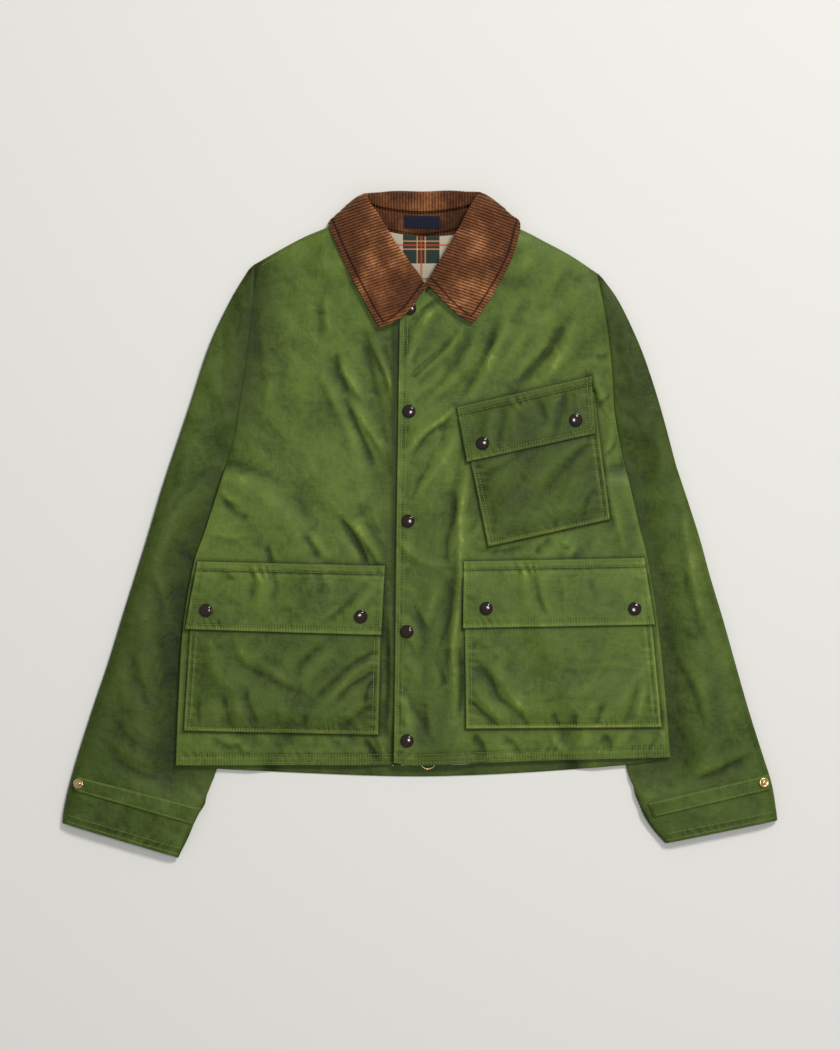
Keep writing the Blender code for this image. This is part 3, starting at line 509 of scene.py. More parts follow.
def crumple(x, y):
    # the small uneven dents of stiff waxed cloth, most drawn down towards the placket
    patch = 0.3 + 0.7 * ease(0.5 + noise(x, y, 70, 6))
    side = np.abs(x)
    across, down = side * 0.8 - y * 0.6 + 7 * noise(x, y, 60, 9), side * 0.6 + y * 0.8
    dents = 0.52 * noise(x, y, 46, 0) + 0.22 * noise(x, y, 17, 10)
    drawn = 0.62 * noise(across, down * 0.34, 19, 1) + 0.22 * noise(across, down * 0.3, 8, 7)
    fold = 0.30 * ridged(across * 1.1, down * 0.36, 34, 2)
    return dents + (drawn + fold) * patch - 0.2


def creased(x, y, key, shift=(0, 0)):
    # a piece's own creases, and its share of the common dents
    strength, dents = next(pair for kind, pair in strengthOf.items() if key.startswith(kind))
    return strength * creaseHeight(x, y, key) + dents * crumple(x + shift[0], y + shift[1])


def puckers(x, y, line, wave, height, spread=6.0, groove=0.45, layer=8):
    # gathers across a stitched line, and the groove the thread pulls
    gap, reach, toward = measure(x, y, line)
    phase = (reach + 0.5 * toward) / wave + 1.6 * noise(reach, reach * 0 + 3, wave * 2.2, layer)
    strength = ease(0.3 + 1.3 * noise(reach, reach * 0 + 9, wave * 3.1, layer + 1))
    deep = 0.6 + 0.7 * noise(reach, gap * 0 + 21, wave * 1.7, layer + 2)
    waves = np.sin(2 * math.pi * phase) * (0.12 + strength) * np.exp(-(gap / (spread * deep + 1)) ** 2)
    return 0.62 * height * waves - groove * np.exp(-(gap / 1.9) ** 2)


# Heights of the panels' lower faces

def hemHeight(x):
    return np.interp(x, backHemLine[:, 0], backHemLine[:, 1])


def sideEdge(y, side):
    line = sideLine[side]
    return np.interp(-y, -line[:, 1], line[:, 0])


def tuckLift(x, y):
    lift = np.zeros(x.shape)
    for side in sideNames:
        sign = signOf[side]
        line = underarmLine[side]
        mine = (x < 3) if side == "right" else (x >= 3)
        gap, _, _ = measure(x, y, line)
        order = np.argsort(line[:, 1])
        inside = (x - np.interp(y, line[order, 1], line[order, 0])) * sign > 0
        gap = np.where(inside & (y < line[0, 1]), 0, gap)
        tuck = clothShape["sleeveStack"] * ease(1 - (gap - clothShape["tuckMargin"]) / clothShape["tuckRamp"])
        tuck = tuck * ease((bodyPattern["side"][side][0][1] - y) / 22)
        lift = np.where(mine, tuck, lift)
    collar = clothShape["collarStack"] * ease((y - 268) / 28) * ease((138 - np.abs(x - 6)) / 28)
    return np.maximum(lift, collar)


def sideCurl(x, y, side):
    gap, _, _ = measure(x, y, sideLine[side])
    return clothShape["seamHeight"] * ease((bodyPattern["side"][side][0][1] - y) / 50), gap


def shoulderCurl(x, y, side):
    gap, reach, _ = measure(x, y, shoulderLine[side])
    return clothShape["seamHeight"] * ease(reach / reaches(shoulderLine[side])[-1] * 6), gap


def armholeHeight(x, y, side):
    gap, reach, _ = measure(x, y, armholeLine[side])
    share = reach / reaches(armholeLine[side])[-1]
    return clothShape["armholeLoft"] * ease(share * 3.4) * ease((1 - share) * 5), gap


def bySide(x, function):
    out = np.zeros(x.shape)
    for side, mine in (("right", x < 3), ("left", x >= 3)):
        if mine.any():
            out[mine] = function(side, mine)
    return out


def backRelief(x, y):
    edge = bySide(x, lambda s, m: np.minimum(np.minimum(measure(x[m], y[m], sideLine[s])[0],
                                                        measure(x[m], y[m], armholeLine[s])[0]),
                                             measure(x[m], y[m], shoulderLine[s])[0]))
    dents = np.maximum(creaseHeight(x, y, "back"), 0) + 0.22 * np.maximum(noise(x, y, 40, 3), 0)
    hem = 0.25 * np.maximum(puckers(x, y, backHemLine + [0, 9], 9, 1.0, 7, 0), 0)
    return (dents + hem) * ease((edge - 6) / 20)


def backLow(x, y):
    def curls(side, m):
        rise, gap = sideCurl(x[m], y[m], side)
        topRise, topGap = shoulderCurl(x[m], y[m], side)
        curl = clothShape["edgeCurl"]
        return rise * np.maximum(1 - gap / curl, 0) ** 2 + topRise * np.maximum(1 - topGap / curl, 0) ** 2
    return tuckLift(x, y) + bySide(x, curls) + backRelief(x, y)


def frontLoft(x, y, side):
    air = blend(clothShape["bodyLoft"], clothShape["sideLoft"], ease((np.abs(x) - 120) / 100))
    neck = 1.4 * ease((y - 200) / 60)
    hem = ease((-200 - y) / 55)
    if side == "right":
        return neck + blend(air, 2.5 - 1.0 * hem, ease((x + 75) / 40))
    return neck + blend(air, 6.3 + 2.9 * hem, ease((70 - x) / 40))


def frontRelief(x, y, side):
    key = "front" + side.capitalize()
    flat = ease((-246 - y) / 10)
    strength, dents = strengthOf["front"]
    total = strength * creaseHeight(x, y, key) + dents * crumple(x, y) * (1 - 0.5 * flat)
    hem = frontHemLine[side]
    up = -signOf[side]
    upper, lower = sewn["hem"]
    total += puckers(x, y, offsetLine(hem, up * upper), 8.5, 0.34, 7, 0.5)
    total += puckers(x, y, offsetLine(hem, up * lower), 6.0, 0.25, 4, 0.3, 2)
    sideGap = measure(x, y, sideLine[side])[0]
    total += puckers(x, y, offsetLine(sideLine[side], sewn["side"] * signOf[side]), 13, 0.35, 9, 0.2, 4)
    if side == "left":
        outer, inner = sewn["placket"]
        total += puckers(x, y, frontEdgeLine[side] + [outer, 0], 11, 0.2, 7, 0.35, 1)
        total += puckers(x, y, frontEdgeLine[side] + [inner, 0], 14, 0.25, 10, 0.35, 5)
    armGap = measure(x, y, armholeLine[side])[0]
    total += puckers(x, y, armholeLine[side], 23, 0.8, 14, 0, 9) * ease(armGap / 6)
    shoulderGap = measure(x, y, shoulderLine[side])[0]
    calm = ease(sideGap / 7) * ease(armGap / 7) * ease(shoulderGap / 12)
    if side == "right":
        calm = calm * blend(1, 0.25, ease((x + 34) / 8))
    return total * calm


def frontLow(x, y, side):
    shape = clothShape
    air = frontLoft(x, y, side) + frontRelief(x, y, side)
    air = np.maximum(air, 0.9)
    rise, gap = sideCurl(x, y, side)
    air = blend(rise, air, dome(gap / shape["edgeRound"]))
    rise, gap = shoulderCurl(x, y, side)
    air = blend(rise, air, dome(gap / shape["edgeRound"]))
    seam, gap = armholeHeight(x, y, side)
    air = blend(seam, air, dome(gap / shape["armholeRound"]))
    low = tuckLift(x, y) + clothTop + air
    if side == "left":
        leaf = leafShape
        over = x < leaf["reach"]
        if over.any():
            under = frontLow(np.minimum(x[over], leaf["underEdge"]), y[over], "right")
            under = under + shape["thickness"] + leaf["gap"]
            low[over] = np.maximum(low[over], under - leaf["slope"] * np.maximum(x[over] - leaf["start"], 0))
    return low


def frontTop(x, y, side):
    return frontLow(x, y, side) + clothShape["thickness"]


def bodyCovers(x, y, side):
    sign = signOf[side]
    inside = (x - sideEdge(y, side)) * sign < 0
    return inside & (y <= bodyPattern["side"][side][0][1]) & (y >= hemHeight(x))


def sleeveCurls(x, y, side):
    outer = np.concatenate([capLine[side][::-1], foldLine[side]])
    gap, _, _ = measure(x, y, outer)
    tip = bodyPattern["armhole"][side][-1]
    rise = clothShape["seamHeight"] * ease((np.hypot(x - tip[0], y - tip[1]) - 8) / 30)
    underGap, _, _ = measure(x, y, underarmLine[side])
    hem = float(hemHeight(signOf[side] * 240.0))
    underRise = clothShape["seamHeight"] * ease((hem - 4 - y) / 18)
    return rise, gap, underRise, underGap


def sleeveUnderLow(x, y, side):
    rise, gap, underRise, underGap = sleeveCurls(x, y, side)
    curl = rise * np.maximum(1 - gap / clothShape["edgeCurl"], 0) ** 2
    curl = np.maximum(curl, underRise * np.maximum(1 - underGap / clothShape["edgeCurl"], 0) ** 2)
    free = np.where(bodyCovers(x, y, side), 0, measure(x, y, sideLine[side])[0])
    dents = np.maximum(creaseHeight(x, y, "under"), 0) + 0.2 * np.maximum(noise(x, y, 36, 2), 0)
    return curl + dents * ease((gap - 8) / 14) * ease((underGap - 8) / 14) * ease((free - 6) / 20)


def cuffLine(side):
    last = sleevePattern["rows"][side][-1]
    return smoothLine([last[:2], last[2:]], 6)


def sleeveTopLow(x, y, side):
    shape = clothShape
    free = np.minimum(measure(x, y, sideLine[side])[0], measure(x, y, backHemLine)[0])
    free = np.where(bodyCovers(x, y, side), 0, free)
    opened = ease((free - 5) / 42)
    key = "sleeve" + side.capitalize()
    cuff = cuffLine(side)
    relief = creased(x, y, key, (90, 0))
    armGap = measure(x, y, armholeLine[side])[0]
    relief += puckers(x, y, armholeLine[side], 27, 1.2, 18, 0, 3) * ease(armGap / 6)
    relief += puckers(x, y, offsetLine(cuff, 7 * signOf[side]), 9, 0.45, 7, 0.4, 5)
    rise, gap, underRise, underGap = sleeveCurls(x, y, side)
    calm = ease(gap / 6) * ease(armGap / 7)
    air = (shape["sleeveLoft"] + 1.5 + relief * calm) * opened
    air = blend(rise, air, dome(gap / (shape["edgeRound"] + 6)))
    air = np.where(underRise > 0, blend(underRise, air, dome(underGap / shape["edgeRound"])), air)
    seam, gap = armholeHeight(x, y, side)
    return clothTop + np.maximum(blend(seam, air, dome(gap / shape["armholeRound"])), 0)


# Meshes

def shareList(count, fine):
    # even shares with a few finer ones at both ends, for rounded edges
    even = np.linspace(0, 1, count)
    return np.unique(np.concatenate([even, fine, 1 - np.asarray(fine)]).round(6))


def coons(bottom, top, left, right, u, v):
    u, v = u[None, :, None], v[:, None, None]
    across = left[:, None] * (1 - u) + right[:, None] * u
    up = bottom[None] * (1 - v) + top[None] * v
    flat = (bottom[0] * (1 - u) + bottom[-1] * u) * (1 - v) + (top[0] * (1 - u) + top[-1] * u) * v
    return across + up - flat


def quadGrid(corners, u, v):
    a, b, c, d = (np.array(p, float) for p in corners)
    u, v = u[None, :, None], v[:, None, None]
    return (a * (1 - u) + b * u) * (1 - v) + (d * (1 - u) + c * u) * v


def facesVolume(verts, faces):
    total = 0.0
    for k in range(1, faces.shape[1] - 1):
        a, b, c = verts[faces[:, 0]], verts[faces[:, k]], verts[faces[:, k + 1]]
        total += float(np.einsum("ij,ij->i", a, np.cross(b, c)).sum())
    return total


def linked(name, data):
    obj = bpy.data.objects.new(name, data)
    bpy.context.scene.collection.objects.link(obj)
    return obj


def plainMesh(name, verts, faces, material, sharp=None):
    # verts in pattern millimetres; faces meet sharply past an angle, or everywhere where none is given
    mesh = bpy.data.meshes.new(name)
    mesh.from_pydata(((np.asarray(verts, float) - middle) * mm).tolist(), [], faces)
    mesh.materials.append(material)
    if sharp is not None:
        mesh.shade_smooth()
        mesh.set_sharp_from_angle(angle=math.radians(sharp))
    return linked(name, mesh)


def addMesh(name, verts, faces, material, paints=None, sharp=50):
    # a closed mesh, turned so that its faces point outwards
    verts = np.asarray(verts, float)
    quads = np.asarray(faces)
    if facesVolume(verts - verts.mean(axis=0), quads) < 0:
        quads = quads[:, ::-1]
    obj = plainMesh(name, verts, quads.tolist(), material, sharp)
    for label, values in (paints or {}).items():
        layer = obj.data.attributes.new(label, "FLOAT", "POINT")
        layer.data.foreach_set("value", np.asarray(values, dtype=np.float32).ravel())
    trees[name] = BVHTree.FromPolygons(verts.tolist(), quads.tolist())
    return obj


def wall(name, low, high, material, paints=None):
    rows, columns = low.shape[:2]
    size = rows * columns
    at = np.arange(size).reshape(rows, columns)
    quad = np.stack([at[:-1, :-1], at[:-1, 1:], at[1:, 1:], at[1:, :-1]], axis=-1).reshape(-1, 4)
    rim = np.concatenate([at[0, :], at[1:, -1], at[-1, -2::-1], at[-2:0:-1, 0]])
    nextRim = np.roll(rim, -1)
    edge = np.stack([rim, nextRim, nextRim + size, rim + size], axis=-1)
    faces = np.concatenate([quad + size, quad[:, ::-1], edge])
    verts = np.concatenate([low.reshape(-1, 3), high.reshape(-1, 3)])
    doubled = {label: np.concatenate([v.ravel(), v.ravel()]) for label, v in (paints or {}).items()}
    return addMesh(name, verts, faces, material, doubled)


def relaxed(z, rounds):
    for _ in range(rounds):
        padded = np.pad(z, 1, mode="edge")
        z = (padded[:-2, 1:-1] + padded[2:, 1:-1] + padded[1:-1, :-2] + padded[1:-1, 2:] + 2 * z) / 6
    return z


wearAndShadeShape = {"broadRounds": 26, "fineRounds": 4, "broad": 0.34, "fine": 0.6}


def wearAndShadeOf(z, edge=0.0, depth=1.0):
    # 0 in the dips, 1 on the ridges, raised along worn edges: ridges and edges light as rubbed wear, dips
    # dark as painted crease shade
    lifted = z - relaxed(z, wearAndShadeShape["broadRounds"])
    fine = z - relaxed(z, wearAndShadeShape["fineRounds"])
    return np.clip(0.5 + lifted * depth * wearAndShadeShape["broad"] + fine * depth * wearAndShadeShape["fine"] + edge, 0, 1)


def bandOf(gap, wide):
    # 1 along a sewn edge, out to the given width
    return ease((wide + 1 - gap) / 2)


def shell(name, plan, low, material, thickness, paints):
    # a cloth wall over a height field, its rim softened
    high = low + thickness
    soft = min(0.5, thickness * 0.3)
    for border in (np.s_[0, :], np.s_[-1, :], np.s_[:, 0], np.s_[:, -1]):
        high[border] -= soft
        low[border] += soft * 0.4
    lowPoints = np.concatenate([plan, low[..., None]], axis=-1)
    highPoints = np.concatenate([plan, high[..., None]], axis=-1)
    return wall(name, lowPoints, highPoints, material, paints)


def heightOn(names, x, y):
    best = None
    for name in names:
        hit = trees[name].ray_cast(Vector((float(x), float(y), 200)), Vector((0, 0, -1)))[0]
        if hit is not None and (best is None or hit.z > best):
            best = hit.z
    return best


# Materials

def feed(tree, socket, value):
    # a link from another socket, or a set value
    source = getattr(value, "socket", value)
    if isinstance(source, bpy.types.NodeSocket):
        tree.links.new(source, socket)
    else:
        socket.default_value = value


class Value:
    # a number on a socket, so that sums on it add their Math nodes
    def __init__(self, finish, socket):
        self.finish = finish
        self.socket = socket

    def join(self, operation, first, second=None, third=None):
        inputs = {k: v for k, v in enumerate((first, second, third)) if v is not None}
        node = self.finish.node("ShaderNodeMath", {"operation": operation}, inputs)
        return Value(self.finish, node.outputs[0])

    def __add__(self, other):
        return self.join("ADD", self, other)

    def __sub__(self, other):
        return self.join("SUBTRACT", self, other)

    def __mul__(self, other):
        return self.join("MULTIPLY", self, other)

    def __truediv__(self, other):
        return self.join("DIVIDE", self, other)

    def __radd__(self, other):
        return self.join("ADD", other, self)

    def __rsub__(self, other):
        return self.join("SUBTRACT", other, self)

    def __rmul__(self, other):
        return self.join("MULTIPLY", other, self)

    def clipped(self):
        return self.join("MINIMUM", self.join("MAXIMUM", self, 0.0), 1.0)

    def size(self):
        return self.join("ABSOLUTE", self)

    def wave(self):
        return self.join("SINE", self)

    def repeat(self, length):
        return self.join("WRAP", self, length, 0.0)

    def within(self, centre, half, soft):
        # 1 within half of the centre, 0 outside, over a soft edge
        return ((half - (self - centre).size()) / soft + 0.5).clipped()


class Finish:
    def __init__(self, name):
        self.material = bpy.data.materials.new(name)
        self.material.use_nodes = True
        self.tree = self.material.node_tree
        self.shader = self.tree.nodes["Principled BSDF"]
        self.coordinates = self.node("ShaderNodeTexCoord").outputs["Object"]
        split = self.node("ShaderNodeSeparateXYZ", {}, {0: self.coordinates})
        self.x, self.y = (Value(self, split.outputs[k]) for k in range(2))

    def node(self, kind, settings=None, inputs=None):
        node = self.tree.nodes.new(kind)
        for key, value in (settings or {}).items():
            if key == "stops":
                ramp = node.color_ramp
                while len(ramp.elements) < len(value):
                    ramp.elements.new(1.0)
                for element, (position, colour) in zip(ramp.elements, value):
                    element.position = position
                    element.color = (*colour, 1.0)
            else:
                setattr(node, key, value)
        for key, value in (inputs or {}).items():
            feed(self.tree, node.inputs[key], value)
        return node

    def cloud(self, scale, detail=2.0, roughness=0.5, stretch=None, distortion=0.0):
        vector = self.coordinates
        if stretch:
            vector = self.node("ShaderNodeMapping", {}, {"Vector": vector, "Scale": stretch}).outputs[0]
        inputs = {"Vector": vector, "Scale": scale, "Detail": detail, "Roughness": roughness,
                  "Distortion": distortion}
        return Value(self, self.node("ShaderNodeTexNoise", {}, inputs).outputs["Fac"])

    def painted(self, name):
        return Value(self, self.node("ShaderNodeAttribute", {"attribute_name": name}).outputs["Fac"])

    def mixed(self, share, first, second, way="MIX"):
        # a colour between two colours, or one laid over the other
        settings = {"data_type": "RGBA", "blend_type": way}
        full = [c if isinstance(c, bpy.types.NodeSocket) else (*c, 1.0) for c in (first, second)]
        node = self.node("ShaderNodeMix", settings, {"Factor": share, 6: full[0], 7: full[1]})
        return node.outputs[2]

    def ramp(self, value, stops):
        return self.node("ShaderNodeValToRGB", {"stops": stops}, {"Fac": value}).outputs["Color"]

    def set(self, **inputs):
        for name, value in inputs.items():
            feed(self.tree, self.shader.inputs[name.replace("_", " ")], value)

    def bump(self, height, distance, strength=1.0, normal=None):
        inputs = {"Height": height, "Distance": distance, "Strength": strength}
        if normal is not None:
            inputs["Normal"] = normal
        return self.node("ShaderNodeBump", {}, inputs).outputs["Normal"]


waxLook = {
    "dip": (0.014, 0.020, 0.004),
    "deep": (0.040, 0.061, 0.011),
    "body": (0.090, 0.139, 0.023),
    "worn": (0.134, 0.196, 0.036),
    "threadbare": (0.250, 0.306, 0.055),
    "paintedSheen": (0.052, 0.106, 0.028),
}


def waxedCotton():
    finish = Finish("waxedCotton")
    wear, tone = finish.painted("wear"), finish.painted("tone")
    broad = finish.cloud(11, 3, 0.55)
    patch = finish.cloud(42, 4, 0.6, distortion=0.6)
    mottle = finish.cloud(150, 3, 0.6)
    grain = finish.cloud(700, 2, 0.7)
    upright = finish.cloud(1.0, 2, 0.6, stretch=(620, 70, 200))
    level = finish.cloud(1.0, 2, 0.6, stretch=(70, 620, 200))
    weave = upright * 0.5 + level * 0.5
    # short pulls across the sewn bands, one to a stitch, their light and dark painted into the colour as well
    # as the bump
    ticks = ((finish.x * 1980.0 + mottle * 5.0).wave() * 0.5 + 0.3) * finish.painted("band")
    # hair-thin creases where a cloud passes its middle value, deeper in some places than others
    vein = finish.cloud(16, 2, 0.5, stretch=(1.5, 0.8, 1.0), distortion=1.2)
    thin = (1.0 - (vein - 0.5).size() * 26.0).clipped() * patch
    # the colour runs from dip to threadbare with the wear-and-shade value: crease dips dark as painted shade,
    # ridges and worn edges light as rubbed wear
    share = (wear * 0.72 + broad * 0.52 + patch * 0.58 + mottle * 0.28 + grain * 0.18 + weave * 0.28
             + thin * 0.10 + ticks * 0.16 - 0.79).clipped()
    stops = [(0.0, waxLook["dip"]), (0.26, waxLook["deep"]), (0.52, waxLook["body"]),
             (0.80, waxLook["worn"]), (1.0, waxLook["threadbare"])]
    colour = finish.ramp(share, stops)
    # painted sheen: bluish-green patches standing in for the wax's reflection
    paintedSheen = (finish.cloud(7, 2, 0.5) * 1.6 - 0.55).clipped() * 0.4
    colour = finish.mixed(paintedSheen, colour, waxLook["paintedSheen"])
    # the tone-and-shade value multiplies the colour: an even level on some pieces, painted shade and shadow
    # on others
    shade = finish.node("ShaderNodeCombineColor", {}, {0: tone, 1: tone, 2: tone}).outputs[0]
    colour = finish.mixed(1.0, colour, shade, "MULTIPLY")
    rough = (0.46 + (patch - 0.5) * 0.34 + (mottle - 0.5) * 0.20 - (wear - 0.5) * 0.10).clipped()
    fine = finish.bump(weave * 1.4 + grain, 0.0003, 0.5)
    lumps = finish.bump(mottle + patch * 2.0, 0.0011, 0.6, fine)
    veined = finish.bump(thin + ticks * 1.6, 0.0003, 0.6, lumps)
    finish.set(Base_Color=colour, Roughness=rough, Normal=veined, Specular_IOR_Level=0.12)
    return finish.material


cordLook = {
    "valley": (0.012, 0.005, 0.003),
    "side": (0.070, 0.024, 0.009),
    "pile": (0.210, 0.076, 0.026),
    "rubbedSheen": (0.620, 0.300, 0.130),
}


def corduroy():
    finish = Finish("corduroy")
    rib, worn = finish.painted("rib"), finish.painted("worn")
    patch = finish.cloud(34, 3, 0.6)
    pile = finish.cloud(700, 3, 0.7)
    speck = finish.cloud(230, 2, 0.6)
    # the wale valleys are drawn dark as painted shade, the rubbed pile light as wear and painted sheen
    share = (rib * 0.56 + (patch - 0.5) * 0.44 + (pile - 0.5) * 0.40 + (speck - 0.5) * 0.35
             + worn * 0.30).clipped()
    stops = [(0.0, cordLook["valley"]), (0.34, cordLook["side"]), (0.64, cordLook["pile"]),
             (1.0, cordLook["rubbedSheen"])]
    colour = finish.ramp(share, stops)
    finish.set(Base_Color=colour, Roughness=0.88, Normal=finish.bump(pile + speck, 0.0005, 0.6),
               Specular_IOR_Level=0.18, Sheen_Weight=0.12, Sheen_Roughness=0.5,
               Sheen_Tint=(0.9, 0.55, 0.35, 1.0))
    return finish.material


# A plain check: block and line places in metres from the middle, over and over
checkLook = {
    "ground": (0.96, 0.88, 0.68),
    "block": (0.026, 0.040, 0.034),
    "line": (0.50, 0.045, 0.026),
    "edge": (0.74, 0.42, 0.12),
    "repeat": 0.092,
}


def checkedCotton():
    finish = Finish("checkedCotton")
    length = checkLook["repeat"]
    across = (finish.x + length * 10 + 0.0445).repeat(length)
    up = (finish.y + length * 10 + 0.0065).repeat(length)
    colour = checkLook["ground"]
    soft = 0.0006

    def bands(centre, half):
        return across.within(centre, half, soft), up.within(centre, half, soft)

    def laid(colour, pair, paint, strength):
        warp, weft = pair
        both = ((warp + weft) * 0.5 * strength + (warp * weft) * (1 - 0.5 * strength)).clipped()
        return finish.mixed(both, colour, paint)

    thread = ((finish.x + finish.y) * 5200.0).wave() * 0.5 + 0.5
    colour = laid(colour, bands(0.046, 0.0205), checkLook["block"], 1.0)
    colour = laid(colour, bands(0.046, 0.0012), checkLook["line"], 1.3)
    for centre in (0.0415, 0.0505):
        colour = laid(colour, bands(centre, 0.0007), checkLook["edge"], 1.2)
    colour = laid(colour, bands(0.008, 0.0012), checkLook["block"], 1.1)
    fuzz = finish.cloud(1200, 2, 0.6)
    shaded = finish.mixed(thread * 0.05 + fuzz * 0.07, colour, (0.02, 0.02, 0.02))
    finish.set(Base_Color=shaded, Roughness=0.9, Normal=finish.bump(thread + fuzz, 0.0002, 0.5),
               Specular_IOR_Level=0.2)
    return finish.material


partLook = {
    "thread": ((0.150, 0.210, 0.040), (0.28, 0.34, 0.08)),
    # seam colour: dark as painted shade of the armhole seam's valley
    "seam": ((0.022, 0.030, 0.006), (0.045, 0.062, 0.010)),
    "label": ((0.004, 0.006, 0.016), (0.009, 0.014, 0.034)),
    "lacquer": ((0.009, 0.005, 0.003), (0.026, 0.013, 0.009)),
    "brass": ((0.60, 0.42, 0.18), (0.84, 0.64, 0.34)),
    "tape": ((0.020, 0.026, 0.012), (0.045, 0.052, 0.025)),
}


def plainFinish(name, scale, roughness, **fixed):
    # two close colours in a fine cloud, with a matching unevenness
    finish = Finish(name)
    first, second = partLook[name]
    cloud = finish.cloud(scale, 3, 0.6)
    colour = finish.mixed(cloud, first, second)
    finish.set(Base_Color=colour, Roughness=(roughness + (cloud - 0.5) * 0.2),
               Normal=finish.bump(cloud, 0.0001, 0.4), **fixed)
    return finish.material


def labelCloth():
    finish = Finish("labelCloth")
    first, second = partLook["label"]
    weave = (finish.x * 6000.0).wave() * (finish.y * 7000.0).wave() * 0.5 + 0.5
    cloud = finish.cloud(500, 2, 0.6)
    colour = finish.mixed((weave * 0.5 + cloud * 0.5).clipped(), first, second)
    finish.set(Base_Color=colour, Roughness=0.6, Normal=finish.bump(weave, 0.0002, 0.5),
               Specular_IOR_Level=0.15)
    return finish.material


finishes = {
    "wax": waxedCotton(),
    "cord": corduroy(),
    "check": checkedCotton(),
    "label": labelCloth(),
    "thread": plainFinish("thread", 900, 0.75, Specular_IOR_Level=0.25),
    "seam": plainFinish("seam", 900, 0.7, Specular_IOR_Level=0.2),
    "lacquer": plainFinish("lacquer", 160, 0.11, Specular_IOR_Level=0.5),
    "brass": plainFinish("brass", 260, 0.26, Metallic=1.0),
    "tape": plainFinish("tape", 1100, 0.85, Specular_IOR_Level=0.2),
}
print("finishes made:", len(finishes))


# Outlines of the pockets and flaps: corners anticlockwise from the hem end nearer the wearer's right,
# and the level each one's colour is multiplied by
pocketShape = {
    "pocketRight": {
        "corners": [(-266, -232), (-46, -237), (-42, -66), (-255, -61)],
        "side": "right", "level": 0.76,
    },
    "pocketLeft": {
        "corners": [(52, -230), (273, -228), (257, -59), (50, -62)],
        "side": "left", "level": 0.96,
    },
    "pocketChest": {
        "corners": [(77, -25), (215, 6), (197, 150), (48, 116)],
        "side": "left", "level": 0.67,
    },
    "edgeRise": 3.0,
    "puff": 3.6,
    "thickness": 1.5,
    "cell": 2.0,
}
flapShape = {
    "flapRight": {
        "corners": [(-264, -117), (-43, -124), (-39, -46), (-250, -41)],
        "over": "pocketRight", "level": 0.96,
    },
    "flapLeft": {
        "corners": [(49, -116), (265, -112), (253, -37), (50, -41)],
        "over": "pocketLeft", "level": 1.02,
    },
    "flapChest": {
        "corners": [(53, 71), (198, 103), (194, 168), (42, 133)],
        "over": "pocketChest", "level": 0.64,
    },
    "thickness": 1.5,
    "band": 10.0,
    "cell": 2.0,
}


def edgeLines(corners):
    a, b, c, d = (np.array(p, float) for p in corners)
    pairs = {"foot": (a, b), "end": (b, c), "head": (d, c), "start": (a, d)}
    return {name: np.array(pair) for name, pair in pairs.items()}


def insideQuad(x, y, corners):
    # how far inside a convex outline a point is, below nought outside it
    pts = np.array(corners, float)
    inner = np.full(x.shape, 1e9)
    for a, b in zip(pts, np.roll(pts, -1, axis=0)):
        run = (b - a) / np.hypot(*(b - a))
        inner = np.minimum(inner, (y - a[1]) * run[0] - (x - a[0]) * run[1])
    return inner


# Body panels and sleeves

def shadedBy(x, y, keys, strength=0.62, reach=2.8):
    # painted shadow all round the outside of a pocket's or flap's outline, where its raised edge stands over
    # the cloth
    shade = np.ones(x.shape)
    for key in keys:
        corners = (pocketShape if key in pocketShape else flapShape)[key]["corners"]
        outside = np.maximum(-insideQuad(x, y, corners), 0)
        shade = shade * (1 - strength * np.exp(-(outside / reach) ** 1.5))
    return shade


def panelToneAndShade(x, y, side):
    # how dark the front is drawn: painted shade at the armholes (deepest on the wearer's right), in the
    # armpits, beside the placket and on the right front's strip by the left front's edge, and painted shadow
    # outside the pockets and flaps; a little lighter across the chest and darker towards the hem
    armGap = measure(x, y, armholeLine[side])[0]
    tone = 1.0 + 0.06 * ease(1 - np.abs(y - 90) / 160)
    upper = ease((y - 60) / 90)
    tone = tone - (0.68 if side == "right" else 0.04) * np.exp(-(armGap / 24) ** 1.4) * upper
    tone = tone - 0.20 * np.exp(-np.hypot(np.abs(x) - 214, y - 66) / 24)
    tone = tone - 0.12 * ease((-236 - y) / 22) * ease((y + 272) / 10 + 0.4)
    if side == "right":
        tone = tone - 0.20 * ease((x + 78) / 40) * ease((250 - y) / 60) - 0.45 * ease((x + 35) / 6)
        keys = ("pocketRight", "flapRight")
    else:
        tone = tone - 0.24 * ease((60 - y) / 60) * ease((50 - x) / 16) * ease((x + 14) / 20)
        keys = ("pocketLeft", "pocketChest", "flapLeft", "flapChest")
    return tone * shadedBy(x, y, keys)


bodyShape = {"columns": 118, "rows": 246, "fine": (0.0016, 0.004, 0.008), "backColumns": 104, "backRows": 120}


def makeFront(side):
    u = shareList(bodyShape["columns"], bodyShape["fine"])
    v = shareList(bodyShape["rows"], (0.0009, 0.0022, 0.0045))
    cut = 0.62
    left = joined(sideLine[side][::-1], armholeLine[side], v, cut)
    right = along(frontEdgeLine[side], v)
    bottom = along(frontHemLine[side], u)
    top = joined(shoulderLine[side], frontNeckLine[side], u, cut)
    plan = coons(bottom, top, left, right, u, v)
    x, y = plan[..., 0], plan[..., 1]
    low = frontLow(x, y, side)
    edge = 0.22 * np.exp(-(measure(x, y, frontEdgeLine[side])[0] / 3) ** 2)
    edge = edge + 0.20 * np.exp(-(measure(x, y, sideLine[side])[0] / 4) ** 2)
    band = bandOf(measure(x, y, frontHemLine[side])[0], 12)
    paints = {"wear": wearAndShadeOf(low, edge), "tone": panelToneAndShade(x, y, side), "band": band}
    name = f"frontPanel{side.capitalize()}"
    piece = shell(name, plan, low, finishes["wax"], clothShape["thickness"], paints)
    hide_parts("front_" + side)
    return piece


